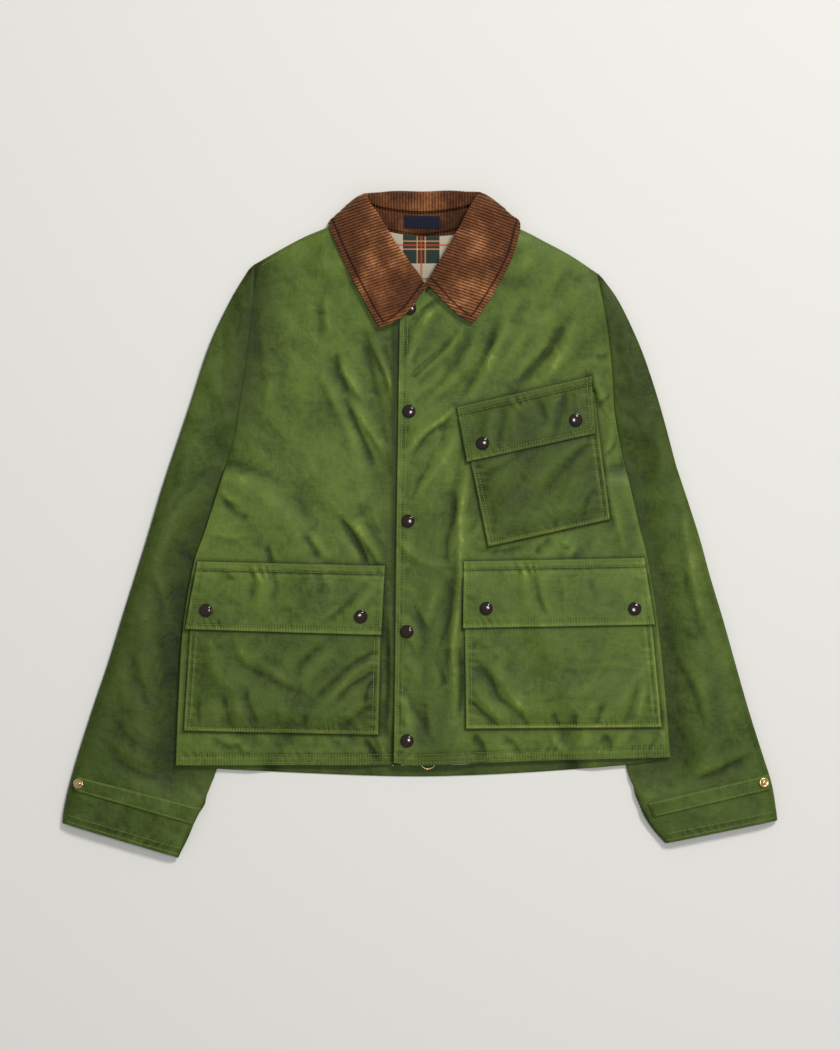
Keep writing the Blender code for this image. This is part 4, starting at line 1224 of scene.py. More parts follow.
def makeBack():
    u = shareList(bodyShape["backColumns"], (0.001, 0.003))
    v = shareList(bodyShape["backRows"], (0.001, 0.003))
    left = joined(sideLine["right"][::-1], armholeLine["right"], v, 0.62)
    right = joined(sideLine["left"][::-1], armholeLine["left"], v, 0.62)
    bottom = along(backHemLine, u)
    neck = smoothLine(bodyPattern["backNeck"], 5)
    lowerPart = joined(shoulderLine["right"], neck, np.clip(u / 0.64, 0, 1), 0.36 / 0.64)
    upperPart = along(shoulderLine["left"][::-1], np.clip((u - 0.64) / 0.36, 0, 1))
    top = np.where((u <= 0.64)[:, None], lowerPart, upperPart)
    plan = coons(bottom, top, left, right, u, v)
    x, y = plan[..., 0], plan[..., 1]
    low = backLow(x, y)
    # darker where the back shows below the front hem: painted shadow of the front's hem
    tone = 0.86 + 0.06 * noise(x, y, 90, 4) - 0.26 * ease((hemHeight(x) + 24 - y) / 14)
    paints = {"wear": wearAndShadeOf(low, 0.04), "tone": tone}
    piece = shell("backPanel", plan, low, finishes["wax"], clothShape["thickness"], paints)
    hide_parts("back_panel")
    return piece


def sleeveRails(side):
    # matching points down the inner and the outer edge of a sleeve, from the shoulder to the cuff
    sign = signOf[side]
    cap = np.linspace(0, 1, 96)
    inner = along(armholeLine[side][::-1], cap) + [sign * clothShape["gap"], 0]
    outer = along(capLine[side][::-1], cap)
    rows = np.array(sleevePattern["rows"][side], float)
    lower = smoothLine(rows, 19)
    link = np.linspace(0, 1, 18)[1:-1, None]
    inner = np.concatenate([inner, inner[-1] * (1 - link) + lower[0, :2] * link, lower[:, :2]])
    outer = np.concatenate([outer, outer[-1] * (1 - link) + lower[0, 2:] * link, lower[:, 2:]])
    gathered = ease((-278 - inner[:, 1]) / 18)      # the inner edge is drawn in and out by the cuff
    ripple = sign * 2.2 * noise(inner[:, 1], inner[:, 0] * 0, 11, 4 + (side == "left")) * gathered
    inner = inner + ripple[:, None] * [1, 0]
    step = reaches((inner + outer) / 2)
    even = np.linspace(0, step[-1], 262)
    even = np.unique(np.concatenate([even, step[-1] - np.array([0.5, 1.4])]))
    return [np.stack([np.interp(even, step, line[:, k]) for k in range(2)], axis=-1)
            for line in (inner, outer)]


def sleeveToneAndShade(x, y, side, foldGap, armGap):
    # darker down the forearm, painted shade by the armhole where the light is cut off, and painted shadow
    # beside the body's side edge
    if side == "right":
        tone = np.interp(y, [-360, -300, -250, -60, 20, 90, 200], [0.70, 0.66, 0.55, 0.53, 0.66, 0.84, 0.90])
        upper = ease((y - 60) / 90)
        tone = tone - 0.06 * ease((26 - foldGap) / 20) - 0.50 * np.exp(-(armGap / 28) ** 1.6) * upper
    else:
        tone = np.interp(y, [-360, -290, -220, -60, 40, 110, 220], [0.70, 0.68, 0.74, 0.82, 0.70, 0.50, 0.52])
    sideGap = measure(x, y, sideLine[side])[0]
    # painted shadow of the body's side edge on the sleeve
    return tone * (1 - 0.36 * np.exp(-(sideGap / 15) ** 1.4) * ease((72 - y) / 20) * ease((y + 290) / 20))


def makeSleeve(side):
    inner, outer = sleeveRails(side)
    for layer in ("top", "under"):
        if layer == "top":
            fine = [0.003, 0.010], 1 - np.array([0.004, 0.010, 0.018, 0.03])
            u = np.unique(np.concatenate([np.linspace(0, 1, 60), *fine]))
            a, b = inner, outer
        else:
            u = np.unique(np.concatenate([np.linspace(0, 1, 26), 1 - np.array([0.008, 0.02])]))
            a, b = inner[::2], outer[::2]
            if (len(inner) - 1) % 2:
                a, b = np.concatenate([a, inner[-1:]]), np.concatenate([b, outer[-1:]])
        plan = a[:, None] * (1 - u[None, :, None]) + b[:, None] * u[None, :, None]
        x, y = plan[..., 0], plan[..., 1]
        low = (sleeveTopLow if layer == "top" else sleeveUnderLow)(x, y, side)
        foldGap = sleeveCurls(x, y, side)[1]
        armGap = measure(x, y, armholeLine[side])[0]
        tone = sleeveToneAndShade(x, y, side, foldGap, armGap)
        paints = {"wear": wearAndShadeOf(low, 0.0, 0.7), "tone": tone}
        name = f"sleeve{layer.capitalize()}{side.capitalize()}"
        piece = shell(name, plan, low, finishes["wax"], clothShape["thickness"], paints)
        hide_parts(f"sleeve_{layer}_{side}")
        madeSheets[name] = piece


madeSheets = {}
madeSheets["backPanel"] = makeBack()
for side in sideNames:
    madeSheets[f"frontPanel{side.capitalize()}"] = makeFront(side)
    makeSleeve(side)
print("panels made")


# Pockets and flaps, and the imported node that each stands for
nodeOf = {
    "pocketRight": "pocket_right", "pocketLeft": "pocket_left", "pocketChest": "pocket_chest",
    "flapRight": "flap_right", "flapLeft": "flap_left", "flapChest": "flap_chest",
}


def pocketRise(x, y, key):
    # height of a pocket's lower face over the front, fullest at its foot
    shape = pocketShape[key]
    edges = edgeLines(shape["corners"])
    foot = measure(x, y, edges["foot"])[0]
    ends = np.minimum(measure(x, y, edges["start"])[0], measure(x, y, edges["end"])[0])
    head = measure(x, y, edges["head"])[0]
    length = foot + head
    low = 1 - np.clip(foot / length, 0, 1)
    rim = pocketShape["edgeRise"] * dome(np.minimum(foot, ends) / 2.8) * blend(0.25, 1.0, low)
    body = pocketShape["puff"] * ease((ends - 4) / 34) * ease((foot - 2) / 26) * blend(0.15, 1.0, low)
    relief = creased(x, y, key, (40, -60))
    relief += puckers(x, y, edges["foot"] + [0, 4.5], 9.5, 0.7, 10, 0.35, 6)
    for name, inward in (("start", 1), ("end", -1)):
        relief += puckers(x, y, edges[name] + [inward * 7.0, 0], 13, 0.3, 8, 0.35, 7)
    calm = ease((np.minimum(foot, ends) - 0.5) / 4)
    return np.maximum(rim + body + relief * calm, 0.0)


def makePocket(key):
    shape = pocketShape[key]
    corners = shape["corners"]
    wide = math.dist(corners[0], corners[1])
    tall = math.dist(corners[1], corners[2])
    rim = np.array([0.4, 1.0, 1.8, 3.0, 4.8, 6.6, 7.6, 8.6, 9.8])
    u = shareList(round(wide / pocketShape["cell"]), rim / wide)
    v = shareList(round(tall / pocketShape["cell"]), rim[:4] / tall)
    plan = quadGrid(corners, u, v)
    x, y = plan[..., 0], plan[..., 1]
    base = frontTop(x, y, shape["side"]) + clothShape["gap"]
    rise = pocketRise(x, y, key)
    low = base + rise
    edges = edgeLines(corners)
    ends = np.minimum(measure(x, y, edges["start"])[0], measure(x, y, edges["end"])[0])
    foot = measure(x, y, edges["foot"])[0]
    outside = measure(x, y, edges["start" if shape["side"] == "right" else "end"])[0]
    # the outer side strip drawn lighter, partly as rubbed wear and partly as painted light on its rows, with
    # painted shade in the groove between them
    strip = np.exp(-(outside / 2.2) ** 2) + np.exp(-((outside - 8.4) / 1.3) ** 2) * ease((foot - 14) / 6)
    worn = 0.26 * np.exp(-(ends / 3.0) ** 2) + 0.46 * np.exp(-(foot / 3.4) ** 2) + 0.42 * strip
    worn = worn - 0.14 * np.exp(-((outside - 4.8) / 1.8) ** 2)
    flap = key.replace("pocket", "flap")
    # painted shadow of the flap on the pocket under it
    tone = (shape["level"] + 0.05 * noise(x, y, 60, 2)) * shadedBy(x, y, [flap], 0.55)
    paints = {"wear": wearAndShadeOf(rise, worn), "tone": tone, "band": bandOf(foot, 6)}
    piece = shell(key, plan, low, finishes["wax"], pocketShape["thickness"], paints)
    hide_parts(nodeOf[key])
    return piece


def flapLow(x, y, key):
    shape = flapShape[key]
    over = shape["over"]
    side = pocketShape[over]["side"]
    base = frontTop(x, y, side)
    inner = insideQuad(x, y, pocketShape[over]["corners"])
    covered = ease((inner + 7) / 7)
    under = (pocketRise(x, y, over) + pocketShape["thickness"] + clothShape["gap"]) * covered
    edges = edgeLines(shape["corners"])
    head, foot = measure(x, y, edges["head"])[0], measure(x, y, edges["foot"])[0]
    ends = np.minimum(measure(x, y, edges["start"])[0], measure(x, y, edges["end"])[0])
    relief = creased(x, y, key, (-70, 30))
    relief += puckers(x, y, edges["head"] - [0, flapShape["band"]], 10, 1.1, 7, 0.9, 1)
    relief += puckers(x, y, edges["foot"] + [0, 6.0], 7.5, 0.38, 6, 0.35, 3)
    for name, inward in (("start", 1), ("end", -1)):
        relief += puckers(x, y, edges[name] + [inward * 5.5, 0], 11, 0.2, 5, 0.35, 5)
    lifted = 0.5 + 0.9 * ease((head - 8) / 24)
    band = 0.7 * ease((flapShape["band"] - head) / 1.5)
    calm = ease((np.minimum(np.minimum(foot, ends), head) + 1.2) / 4)
    return base + clothShape["gap"] + under + lifted + band + np.maximum(relief * calm, -lifted), relief


def makeFlap(key):
    corners = flapShape[key]["corners"]
    wide, tall = math.dist(corners[0], corners[1]), math.dist(corners[1], corners[2])
    u = shareList(round(wide / flapShape["cell"]), np.array([0.5, 1.3]) / wide)
    v = shareList(round(tall / flapShape["cell"]), np.array([0.5, 1.3]) / tall)
    plan = quadGrid(corners, u, v)
    x, y = plan[..., 0], plan[..., 1]
    low, relief = flapLow(x, y, key)
    edges = edgeLines(corners)
    rim = np.minimum.reduce([measure(x, y, edges[name])[0] for name in ("start", "end", "foot")])
    worn = 0.30 * np.exp(-(rim / 3.5) ** 2) + 0.10 * np.exp(-(measure(x, y, edges["head"])[0] / 10) ** 2)
    band = bandOf(measure(x, y, edges["foot"])[0], 8)
    tone = flapShape[key]["level"] + 0.04 * noise(x, y, 50, 5)
    paints = {"wear": wearAndShadeOf(relief, worn), "tone": tone, "band": band}
    piece = shell(key, plan, low, finishes["wax"], flapShape["thickness"], paints)
    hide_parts(nodeOf[key])
    return piece


for key in ("pocketRight", "pocketLeft", "pocketChest"):
    madeSheets[key] = makePocket(key)
for key in ("flapRight", "flapLeft", "flapChest"):
    madeSheets[key] = makeFlap(key)
print("pockets and flaps made")


# Collar sections round the neck: seam on the panels, roll line, widest point, turn and outer edge
collarShape = {
    "sections": [
        ((3, 261, 11.5), (7, 267, 18.5), (-12, 241, 19.2), (-27, 229.5, 17), (-45, 222, 14.2)),
        ((-10, 275, 12.0), (-8, 289, 21), (-31, 264, 20.5), (-43, 250, 17.5), (-53, 236, 14.4)),
        ((-24, 294, 12.5), (-23, 308, 25), (-48, 290, 23.5), (-60, 281, 19), (-72, 271, 14.6)),
        ((-38, 316, 13.0), (-36, 328, 28), (-62, 317, 25), (-75, 310, 19), (-88, 303, 14.6)),
        ((-50, 333, 12.8), (-46, 345, 29), (-72, 340, 25), (-87, 334, 19), (-99, 329, 14.8)),
        ((-59, 344, 12.4), (-55, 358, 29), (-80, 353, 22), (-93, 347, 15), (-102, 340, 8.0)),
        ((-63, 350, 11.0), (-60, 366, 27), (-82, 358, 15), (-92, 349, 6.5), (-97, 343, 2.4)),
        ((-64, 351, 9.0), (-60, 370, 24.5), (-77, 363, 11), (-85, 352, 1.8), (-84, 330, 1.2)),
        ((-61, 350, 8.0), (-58, 371.5, 22), (-70, 367, 9), (-72, 360, 1.5), (-66, 306, 1.2)),
        ((-42, 336, 6.6), (-36, 372, 15), (-37, 373.5, 9), (-36, 369, 2.0), (-33, 302, 1.2)),
        ((5, 328, 6.4), (5, 371, 12.5), (5, 373, 8), (5, 369, 1.9), (5, 300, 1.2)),
        ((52, 338, 6.6), (45, 372.5, 15), (46, 374, 9), (45, 370, 2.0), (42, 302, 1.2)),
        ((65, 352, 8.0), (64, 373, 22), (76, 369, 9), (79, 361, 1.5), (74, 306, 1.2)),
        ((68, 353, 9.0), (66, 371, 24.5), (85, 364, 11), (95, 352, 1.8), (92, 330, 1.2)),
        ((67, 351, 11.0), (64, 366, 27), (91, 358, 15), (102, 349, 6.5), (108, 343.5, 2.4)),
        ((63, 345, 12.4), (59, 358, 29), (88, 352, 22), (104, 346, 15), (113, 340, 8.0)),
        ((56, 334, 12.8), (52, 344, 29), (78, 338, 25), (97, 332, 19), (112, 327, 14.8)),
        ((46, 318, 14.4), (43, 327, 28), (70, 314, 25), (88, 305, 19), (104, 300, 14.6)),
        ((31, 297, 14.4), (31, 306, 25.5), (58, 288, 23.5), (75, 279, 19), (90, 272, 14.6)),
        ((19, 276, 14.0), (20, 289, 22), (42, 264, 20.5), (58, 250, 17.5), (70, 240, 14.4)),
        ((8, 261, 13.0), (9, 270, 18.5), (32, 247, 17.5), (45, 236, 16), (60, 227, 14.2)),
    ],
    "seam": 0.52,          # where the stand is sewn to the fall, from neck seam to roll line
    "thickness": 2.2,
    "standThickness": 1.4,
    "wale": 3.3,
    "ribHeight": 0.85,
    "stations": 744,
    "across": 46,
    "hemStitch": 7.0,
}


def collarSections(stations):
    sections = np.array(collarShape["sections"], float)          # station, rail, xyz
    dense = smoothLine(sections.reshape(len(sections), -1), 24).reshape(-1, 5, 3)
    step = reaches(dense[:, 2] * 0.6 + dense[:, 4] * 0.4)
    even = np.linspace(0, step[-1], stations)
    flat = dense.reshape(len(dense), -1)
    found = np.stack([np.interp(even, step, flat[:, k]) for k in range(15)], axis=-1)
    place = np.interp(even, step, np.linspace(0, len(sections) - 1, len(dense)))
    return found.reshape(-1, 5, 3), place


def waleReach(x, y, place):
    # distance across the ribs, which run square to the outer edge of each leaf and upright at the back
    lead = 0.300 * x - 0.954 * y
    back = -x - 431.0
    tail = 0.309 * x + 0.951 * y - 868.0
    reach = blend(lead, back, ease((place - 6.6) / 2.2))
    return blend(reach, tail, ease((place - 11.4) / 2.2))


def ribProfile(reach):
    phase = np.abs(np.sin(math.pi * reach / collarShape["wale"]))
    return phase ** 0.8


def ribbedWall(name, grid, place, thickness, groove):
    run = np.gradient(grid, axis=1)
    cross = np.gradient(grid, axis=0)
    normal = np.cross(run, cross)
    normal /= np.maximum(np.linalg.norm(normal, axis=-1, keepdims=True), 1e-9)
    x, y = grid[..., 0], grid[..., 1]
    rib = ribProfile(waleReach(x, y, place[:, None] * np.ones(x.shape)) + 0.5 * noise(x, y, 34, 9))
    outward = cross / np.maximum(np.linalg.norm(cross, axis=-1, keepdims=True), 1e-9)
    if name == "collarFall":
        scallop = (rib[:, -1] - 0.7) * 0.9
        fade = np.linspace(0, 1, grid.shape[1]) ** 40
        grid = grid + outward * (scallop[:, None] * fade[None, :])[..., None]
    half = thickness / 2 + collarShape["ribHeight"] * (rib - 0.7) * 0.8 - groove
    half[:, 0] -= 0.3
    half[:, -1] -= 0.35
    half[0] -= 0.3
    half[-1] -= 0.3
    half = np.maximum(half, 0.35)[..., None]
    low, high = grid - normal * half, grid + normal * half
    low[..., 2] = np.maximum(low[..., 2], 0)
    high[..., 2] = np.maximum(high[..., 2], 0)
    # darker in the wale valleys, in the stitched groove and on the stand as painted shade; a little darker
    # behind the neck
    behind = ease((place - 7) / 1.5) * ease((14 - place) / 1.5)
    level = 0.74 if name == "collarStand" else 1.0
    shade = rib * np.exp(-groove * 1.5) * level * (1 - 0.22 * behind[:, None])
    # rubbed pile, drawn lighter in part as painted sheen
    worn = np.clip(noise(x, y, 30, 4) * 0.6 + 0.4 * noise(x, y, 11, 7) + 0.3, 0, 1)
    return wall(name, low, high, finishes["cord"], {"rib": shade, "worn": worn})


def makeCollar():
    found, place = collarSections(collarShape["stations"])
    neck, roll, wide, turn, outer = (found[:, k] for k in range(5))
    seam = neck + (roll - neck) * collarShape["seam"] + [0, 0, 0.6]
    rails = smoothLine(np.stack([seam, roll, wide, turn, outer]).reshape(5, -1), 8).reshape(-1, len(found), 3)
    shares = np.linspace(0.03, 1, collarShape["across"])
    shares = np.unique(np.concatenate([shares, [0.04, 0.985, 0.993], np.linspace(0.885, 0.948, 9)]).round(4))
    grid = np.stack([along(rails[:, k], shares) for k in range(len(found))])
    # the leaves ripple a little, and stand up over their stitched edge
    fromOuter = reachesBack(grid)
    leaf = ease((6.5 - place) / 1.5) + ease((place - 13.5) / 1.5)
    x, y = grid[..., 0], grid[..., 1]
    ripple = 0.9 * noise(x, y, 38, 2) + 0.7 * noise(x, y, 19, 6)
    inner = ease((fromOuter - 12) / 20) * ease((fromOuter[:, :1] - fromOuter - 6) / 20)
    grid[..., 2] += ripple * leaf[:, None] * inner
    grid[..., 2] += creaseHeight(x, y, "collar") * leaf[:, None] * ease(fromOuter / 14)
    stitch = collarShape["hemStitch"]
    edges = np.minimum(fromOuter, np.minimum(stationReach(found, 0), stationReach(found, -1))[:, None])
    groove = 1.1 * np.exp(-((edges - stitch) / 0.9) ** 2)
    fall = ribbedWall("collarFall", grid, place, collarShape["thickness"], groove)
    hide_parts("collar_fall")

    way = (seam - neck) / np.linalg.norm(seam - neck, axis=1, keepdims=True)
    start, stop = neck + way * 1.2, seam - way * clothShape["gap"]
    rise = np.linspace(0, 1, 9)[None, :, None]
    standGrid = start[:, None] * (1 - rise) + stop[:, None] * rise
    flat = np.zeros(standGrid.shape[:2])
    stand = ribbedWall("collarStand", standGrid, place, collarShape["standThickness"], flat)
    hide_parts("collar_stand")
    return fall, stand


def reachesBack(grid):
    # distance from each point to the outer edge, along its own section
    step = np.linalg.norm(np.diff(grid, axis=1), axis=-1)
    back = np.cumsum(step[:, ::-1], axis=1)[:, ::-1]
    return np.concatenate([back, np.zeros((len(grid), 1))], axis=1)


def stationReach(found, end):
    # distance of each station from one end of the collar, along its widest line
    reach = reaches(found[:, 2])
    return reach if end == 0 else reach[-1] - reach


madeSheets["collarFall"], madeSheets["collarStand"] = makeCollar()
print("collar made")


# The check lining where the neck shows it, and the strip of it that shows at the hem
liningShape = {"thickness": 0.9, "foot": 236, "columns": 66, "rows": 50}


def makeLining():
    u, v = np.linspace(0, 1, liningShape["columns"]), np.linspace(0, 1, liningShape["rows"])
    foot = np.stack([blend(-62, 72, u), np.full(len(u), float(liningShape["foot"]))], axis=-1)
    neck = along(smoothLine(bodyPattern["backNeck"][1:-1], 5), u) - [0, 0.4]
    left = foot[0] + (neck[0] - foot[0]) * v[:, None]
    right = foot[-1] + (neck[-1] - foot[-1]) * v[:, None]
    plan = coons(foot, neck, left, right, u, v)
    x, y = plan[..., 0], plan[..., 1]
    inner = ease(np.minimum(u, 1 - u) * 12)[None, :] * ease(np.minimum(v, 1 - v) * 8)[:, None]
    waves = 0.45 * noise(x, y, 24, 1) + 0.3 * noise(x, y, 12, 3) + 0.25
    low = backLow(x, y) + clothTop + np.maximum(waves * inner, 0)
    piece = shell("liningNeck", plan, low, finishes["check"], liningShape["thickness"], {})
    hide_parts("lining")
    return piece


def makeHemStrip():
    # the lining's edge between back and fronts, just showing past the front hem in two places
    u, v = np.linspace(0, 1, 90), np.linspace(0, 1, 7)
    x = blend(-60.0, 110.0, u)[None, :] * np.ones((len(v), 1))
    edge = np.interp(x[0], frontHemLine["left"][::-1, 0], frontHemLine["left"][::-1, 1])
    edge = np.where(x[0] < -29, -271.0, edge)
    dip = 3.4 * np.exp(-((x[0] + 22) / 12) ** 4) + 3.1 * np.exp(-((x[0] - 45) / 19) ** 4) - 2.0
    y = (edge - dip)[None, :] * (1 - v[:, None]) + -256.0 * v[:, None]
    low = backLow(x, y) + clothTop
    plan = np.stack([x, y], axis=-1)
    return shell("liningHem", plan, low, finishes["check"], 0.7, {})


madeSheets["liningNeck"] = makeLining()
madeSheets["liningHem"] = makeHemStrip()


# Straps round the cuffs, the blank label, and pieces laid on what is below them
strapShape = {
    "right": [(-389, -299), (-257, -337), (-246, -319), (-385, -283)],
    "left": [(264, -329), (395, -298), (394, -281), (257, -313)],
    "thickness": 1.3,
}
labelShape = {"corners": [(-17, 335), (23, 334), (23, 348), (-17, 349)], "thickness": 0.7}


def laidGrid(corners, cell, carriers, lift):
    wide, tall = math.dist(corners[0], corners[1]), math.dist(corners[1], corners[2])
    u = shareList(max(round(wide / cell), 4), np.array([0.5]) / wide)
    v = shareList(max(round(tall / cell), 4), np.array([0.5]) / tall)
    plan = quadGrid(corners, u, v)
    low = np.zeros(plan.shape[:2])
    for j in range(len(v)):
        for i in range(len(u)):
            found = [heightOn(carriers, plan[j, i, 0] + dx, plan[j, i, 1] + dy)
                     for dx, dy in ((0, 0), (1, 0), (-1, 0), (0, 1), (0, -1))]
            found = [z for z in found if z is not None]
            low[j, i] = max(found) + lift if found else np.nan
    return plan, low


def makeStraps():
    for side in sideNames:
        carrier = [f"sleeveTop{side.capitalize()}"]
        plan, low = laidGrid(strapShape[side], 2.0, carrier, clothShape["gap"])
        x, y = plan[..., 0], plan[..., 1]
        edges = edgeLines(strapShape[side])
        rim = np.minimum(measure(x, y, edges["head"])[0], measure(x, y, edges["foot"])[0])
        low = relaxed(low, 2) + 0.25 + 0.25 * np.abs(noise(x, y, 14, 2))
        paints = {"wear": np.clip(0.46 + 0.2 * np.exp(-(rim / 2) ** 2) + 0.1 * noise(x, y, 9, 3), 0, 1),
                  "tone": np.full(x.shape, 0.84)}
        name = f"cuffStrap{side.capitalize()}"
        piece = shell(name, plan, low, finishes["wax"], strapShape["thickness"], paints)
        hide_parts("strap_" + side)
        madeSheets[name] = piece


def makeLabel():
    plan, low = laidGrid(labelShape["corners"], 1.6, ["collarStand"], 0.25)
    piece = shell("neckLabel", plan, relaxed(low, 3) + 0.2, finishes["label"], labelShape["thickness"], {})
    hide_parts("label")
    return piece


makeStraps()
madeSheets["neckLabel"] = makeLabel()
print("lining, straps and label made")


# Snap caps and studs: radius and height pairs of the turned profile, as shares
snapShape = {
    "radius": 7.5,
    "height": 3.4,
    "sides": 40,
    "profile": [(0, 0), (0.86, 0), (0.97, 0.06), (1.0, 0.17), (0.985, 0.27), (0.93, 0.33), (0.905, 0.34),
                (0.895, 0.42), (0.85, 0.59), (0.77, 0.75), (0.66, 0.86), (0.52, 0.925), (0.36, 0.965),
                (0.20, 0.99), (0, 1.0)],
    "placket": [(-11, 244), (-12, 128), (-13, 4.5), (-14, -120), (-14, -243)],
    "right": [(-240, -96), (-66, -103)],
    "left": [(75, -94), (242, -94)],
    "chest": [(71, 92), (176, 118)],
}
studShape = {
    "radius": 5.5,
    "height": 2.8,
    "sides": 36,
    "profile": [(0, 0), (0.9, 0), (1.0, 0.12), (1.0, 0.3), (0.9, 0.45), (0.72, 0.5), (0.66, 0.42),
                (0.5, 0.42), (0.44, 0.62), (0.34, 0.9), (0.18, 1.0), (0, 1.0)],
    "right": (-384, -291),
    "left": (388, -290),
}


def turned(name, foot, profile, sides, material, tilt=(0, 0)):
    # a profile turned about an upright line, leaning with the cloth, closed with triangles at both ends
    verts = [(0, 0, profile[0][1])]
    for radius, height in profile[1:-1]:
        for k in range(sides):
            angle = 2 * math.pi * k / sides
            verts.append((radius * math.cos(angle), radius * math.sin(angle), height))
    verts.append((0, 0, profile[-1][1]))
    verts = np.array(verts, float)
    lean = verts.copy()
    lean[:, 2] = verts[:, 2] + tilt[0] * verts[:, 0] + tilt[1] * verts[:, 1]
    lean[:, 2] -= min(lean[:, 2].min(), 0)
    faces = []
    for k in range(sides):
        n = (k + 1) % sides
        faces.append([0, 1 + n, 1 + k])
        for ring in range(len(profile) - 3):
            a = 1 + ring * sides
            faces.append([a + k, a + n, a + sides + n, a + sides + k])
        last = 1 + (len(profile) - 3) * sides
        faces.append([last + k, last + n, len(verts) - 1])
    return plainMesh(name, lean + foot, faces, material, 50)


def makeCap(name, place, carriers, shape, material):
    radius, height = shape["radius"], shape["height"]
    around = [(math.cos(k * math.pi / 6), math.sin(k * math.pi / 6)) for k in range(12)]
    rim = [heightOn(carriers, place[0] + radius * 0.8 * c, place[1] + radius * 0.8 * s) for c, s in around]
    known = [z for z in rim if z is not None]
    base = sum(known) / len(known)
    lean = [sum(((z if z is not None else base) - base) * d for z, d in zip(rim, way)) / (6 * 0.8 * radius)
            for way in zip(*around)]
    top = max(z - base - lean[0] * 0.8 * radius * c - lean[1] * 0.8 * radius * s
              for (c, s), z in zip(around, rim) if z is not None)
    profile = [(r * radius, h * height) for r, h in shape["profile"]]
    foot = np.array([place[0], place[1], base + min(top, 1.2) + 0.12])
    return turned(name, foot, profile, shape["sides"], material, lean)


caps = []
for k, place in enumerate(snapShape["placket"]):
    cap = makeCap(f"snapPlacket{k + 1}", place, ["frontPanelLeft"], snapShape, finishes["lacquer"])
    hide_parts(f"snap_placket_{k + 1}")
    caps.append(cap)
for key in ("right", "left", "chest"):
    for k, place in enumerate(snapShape[key]):
        name = f"snapFlap{key.capitalize()}{k + 1}"
        cap = makeCap(name, place, [f"flap{key.capitalize()}"], snapShape, finishes["lacquer"])
        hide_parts(f"snap_{key}_{k + 1}")
        caps.append(cap)
for side in sideNames:
    carriers = [f"cuffStrap{side.capitalize()}", f"sleeveTop{side.capitalize()}"]
    stud = makeCap(f"cuffStud{side.capitalize()}", studShape[side], carriers, studShape, finishes["brass"])
    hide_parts("stud_" + side)
    caps.append(stud)
print("snaps and studs made:", len(caps))


# Zip: tape, teeth, slider with its eye, and the round pull ring
zipShape = {
    "tape": (-4, 17, -243, 252),
    "tapeThickness": 0.9,
    "toothPitch": 2.4,
    "ringRadius": 8.4,
    "wire": 0.95,
    "tilt": -7.0,
    "toothRows": (5.6, 7.6),
    "toothSize": (1.5, 0.4, 0.75),
    "toothUnevenness": 0.02,
    "toothSeed": 5,
    "toothLift": 0.35,
    "eyeSides": 28,
    "eyeHole": 1.4,
    "ringSides": 64,
    "wireSides": 14,
}


def repeatTree(name, kind):
    # small pieces along the edges of a mesh: stitches, or the teeth of a zip
    tree = bpy.data.node_groups.new(name, "GeometryNodeTree")
    face = tree.interface
    face.new_socket("Geometry", in_out="INPUT", socket_type="NodeSocketGeometry")
    sockets = {}
    for label, kindOf, value in (("pitch", "NodeSocketFloat", 0.003), ("size", "NodeSocketVector", (1, 1, 1)),
                                 ("unevenness", "NodeSocketFloat", 0.1), ("seed", "NodeSocketInt", 3),
                                 ("finish", "NodeSocketMaterial", None)):
        socket = face.new_socket(label, in_out="INPUT", socket_type=kindOf)
        if value is not None:
            socket.default_value = value
        sockets[label] = socket.identifier
    face.new_socket("Geometry", in_out="OUTPUT", socket_type="NodeSocketGeometry")

    def add(kindName, settings=None, inputs=None):
        node = tree.nodes.new(kindName)
        for key, value in (settings or {}).items():
            setattr(node, key, value)
        for key, value in (inputs or {}).items():
            feed(tree, node.inputs[key], value)
        return node

    given = add("NodeGroupInput").outputs
    curve = add("GeometryNodeMeshToCurve", {}, {"Mesh": given["Geometry"]})
    even = add("GeometryNodeResampleCurve", {"mode": "LENGTH"},
               {"Curve": curve.outputs[0], "Length": given["pitch"]})
    tangent = add("GeometryNodeInputTangent")
    turn = add("FunctionNodeAlignRotationToVector", {"axis": "Z"}, {"Vector": tangent.outputs[0]})
    if kind == "stitch":
        shape = add("GeometryNodeMeshUVSphere", {}, {"Segments": 6, "Rings": 4, "Radius": 1.0}).outputs[0]
    else:
        shape = add("GeometryNodeMeshCube", {}, {"Size": (2.0, 2.0, 2.0)}).outputs[0]
    smooth = add("GeometryNodeSetShadeSmooth", {}, {"Geometry": shape, "Shade Smooth": kind == "stitch"})
    wander = add("FunctionNodeRandomValue", {"data_type": "FLOAT_VECTOR"},
                 {"Min": (-1, -1, -1), "Max": (1, 1, 1), "Seed": given["seed"]})
    change = add("ShaderNodeVectorMath", {"operation": "SCALE"},
                 {0: wander.outputs[0], "Scale": given["unevenness"]})
    grown = add("ShaderNodeVectorMath", {"operation": "MULTIPLY_ADD"},
                {0: given["size"], 1: change.outputs[0], 2: given["size"]})
    placed = add("GeometryNodeInstanceOnPoints", {}, {
        "Points": even.outputs[0], "Instance": smooth.outputs[0], "Rotation": turn.outputs[0],
        "Scale": grown.outputs[0]})
    real = add("GeometryNodeRealizeInstances", {}, {"Geometry": placed.outputs[0]})
    painted = add("GeometryNodeSetMaterial", {}, {"Geometry": real.outputs[0], "Material": given["finish"]})
    add("NodeGroupOutput", {}, {"Geometry": painted.outputs[0]})
    return tree, sockets


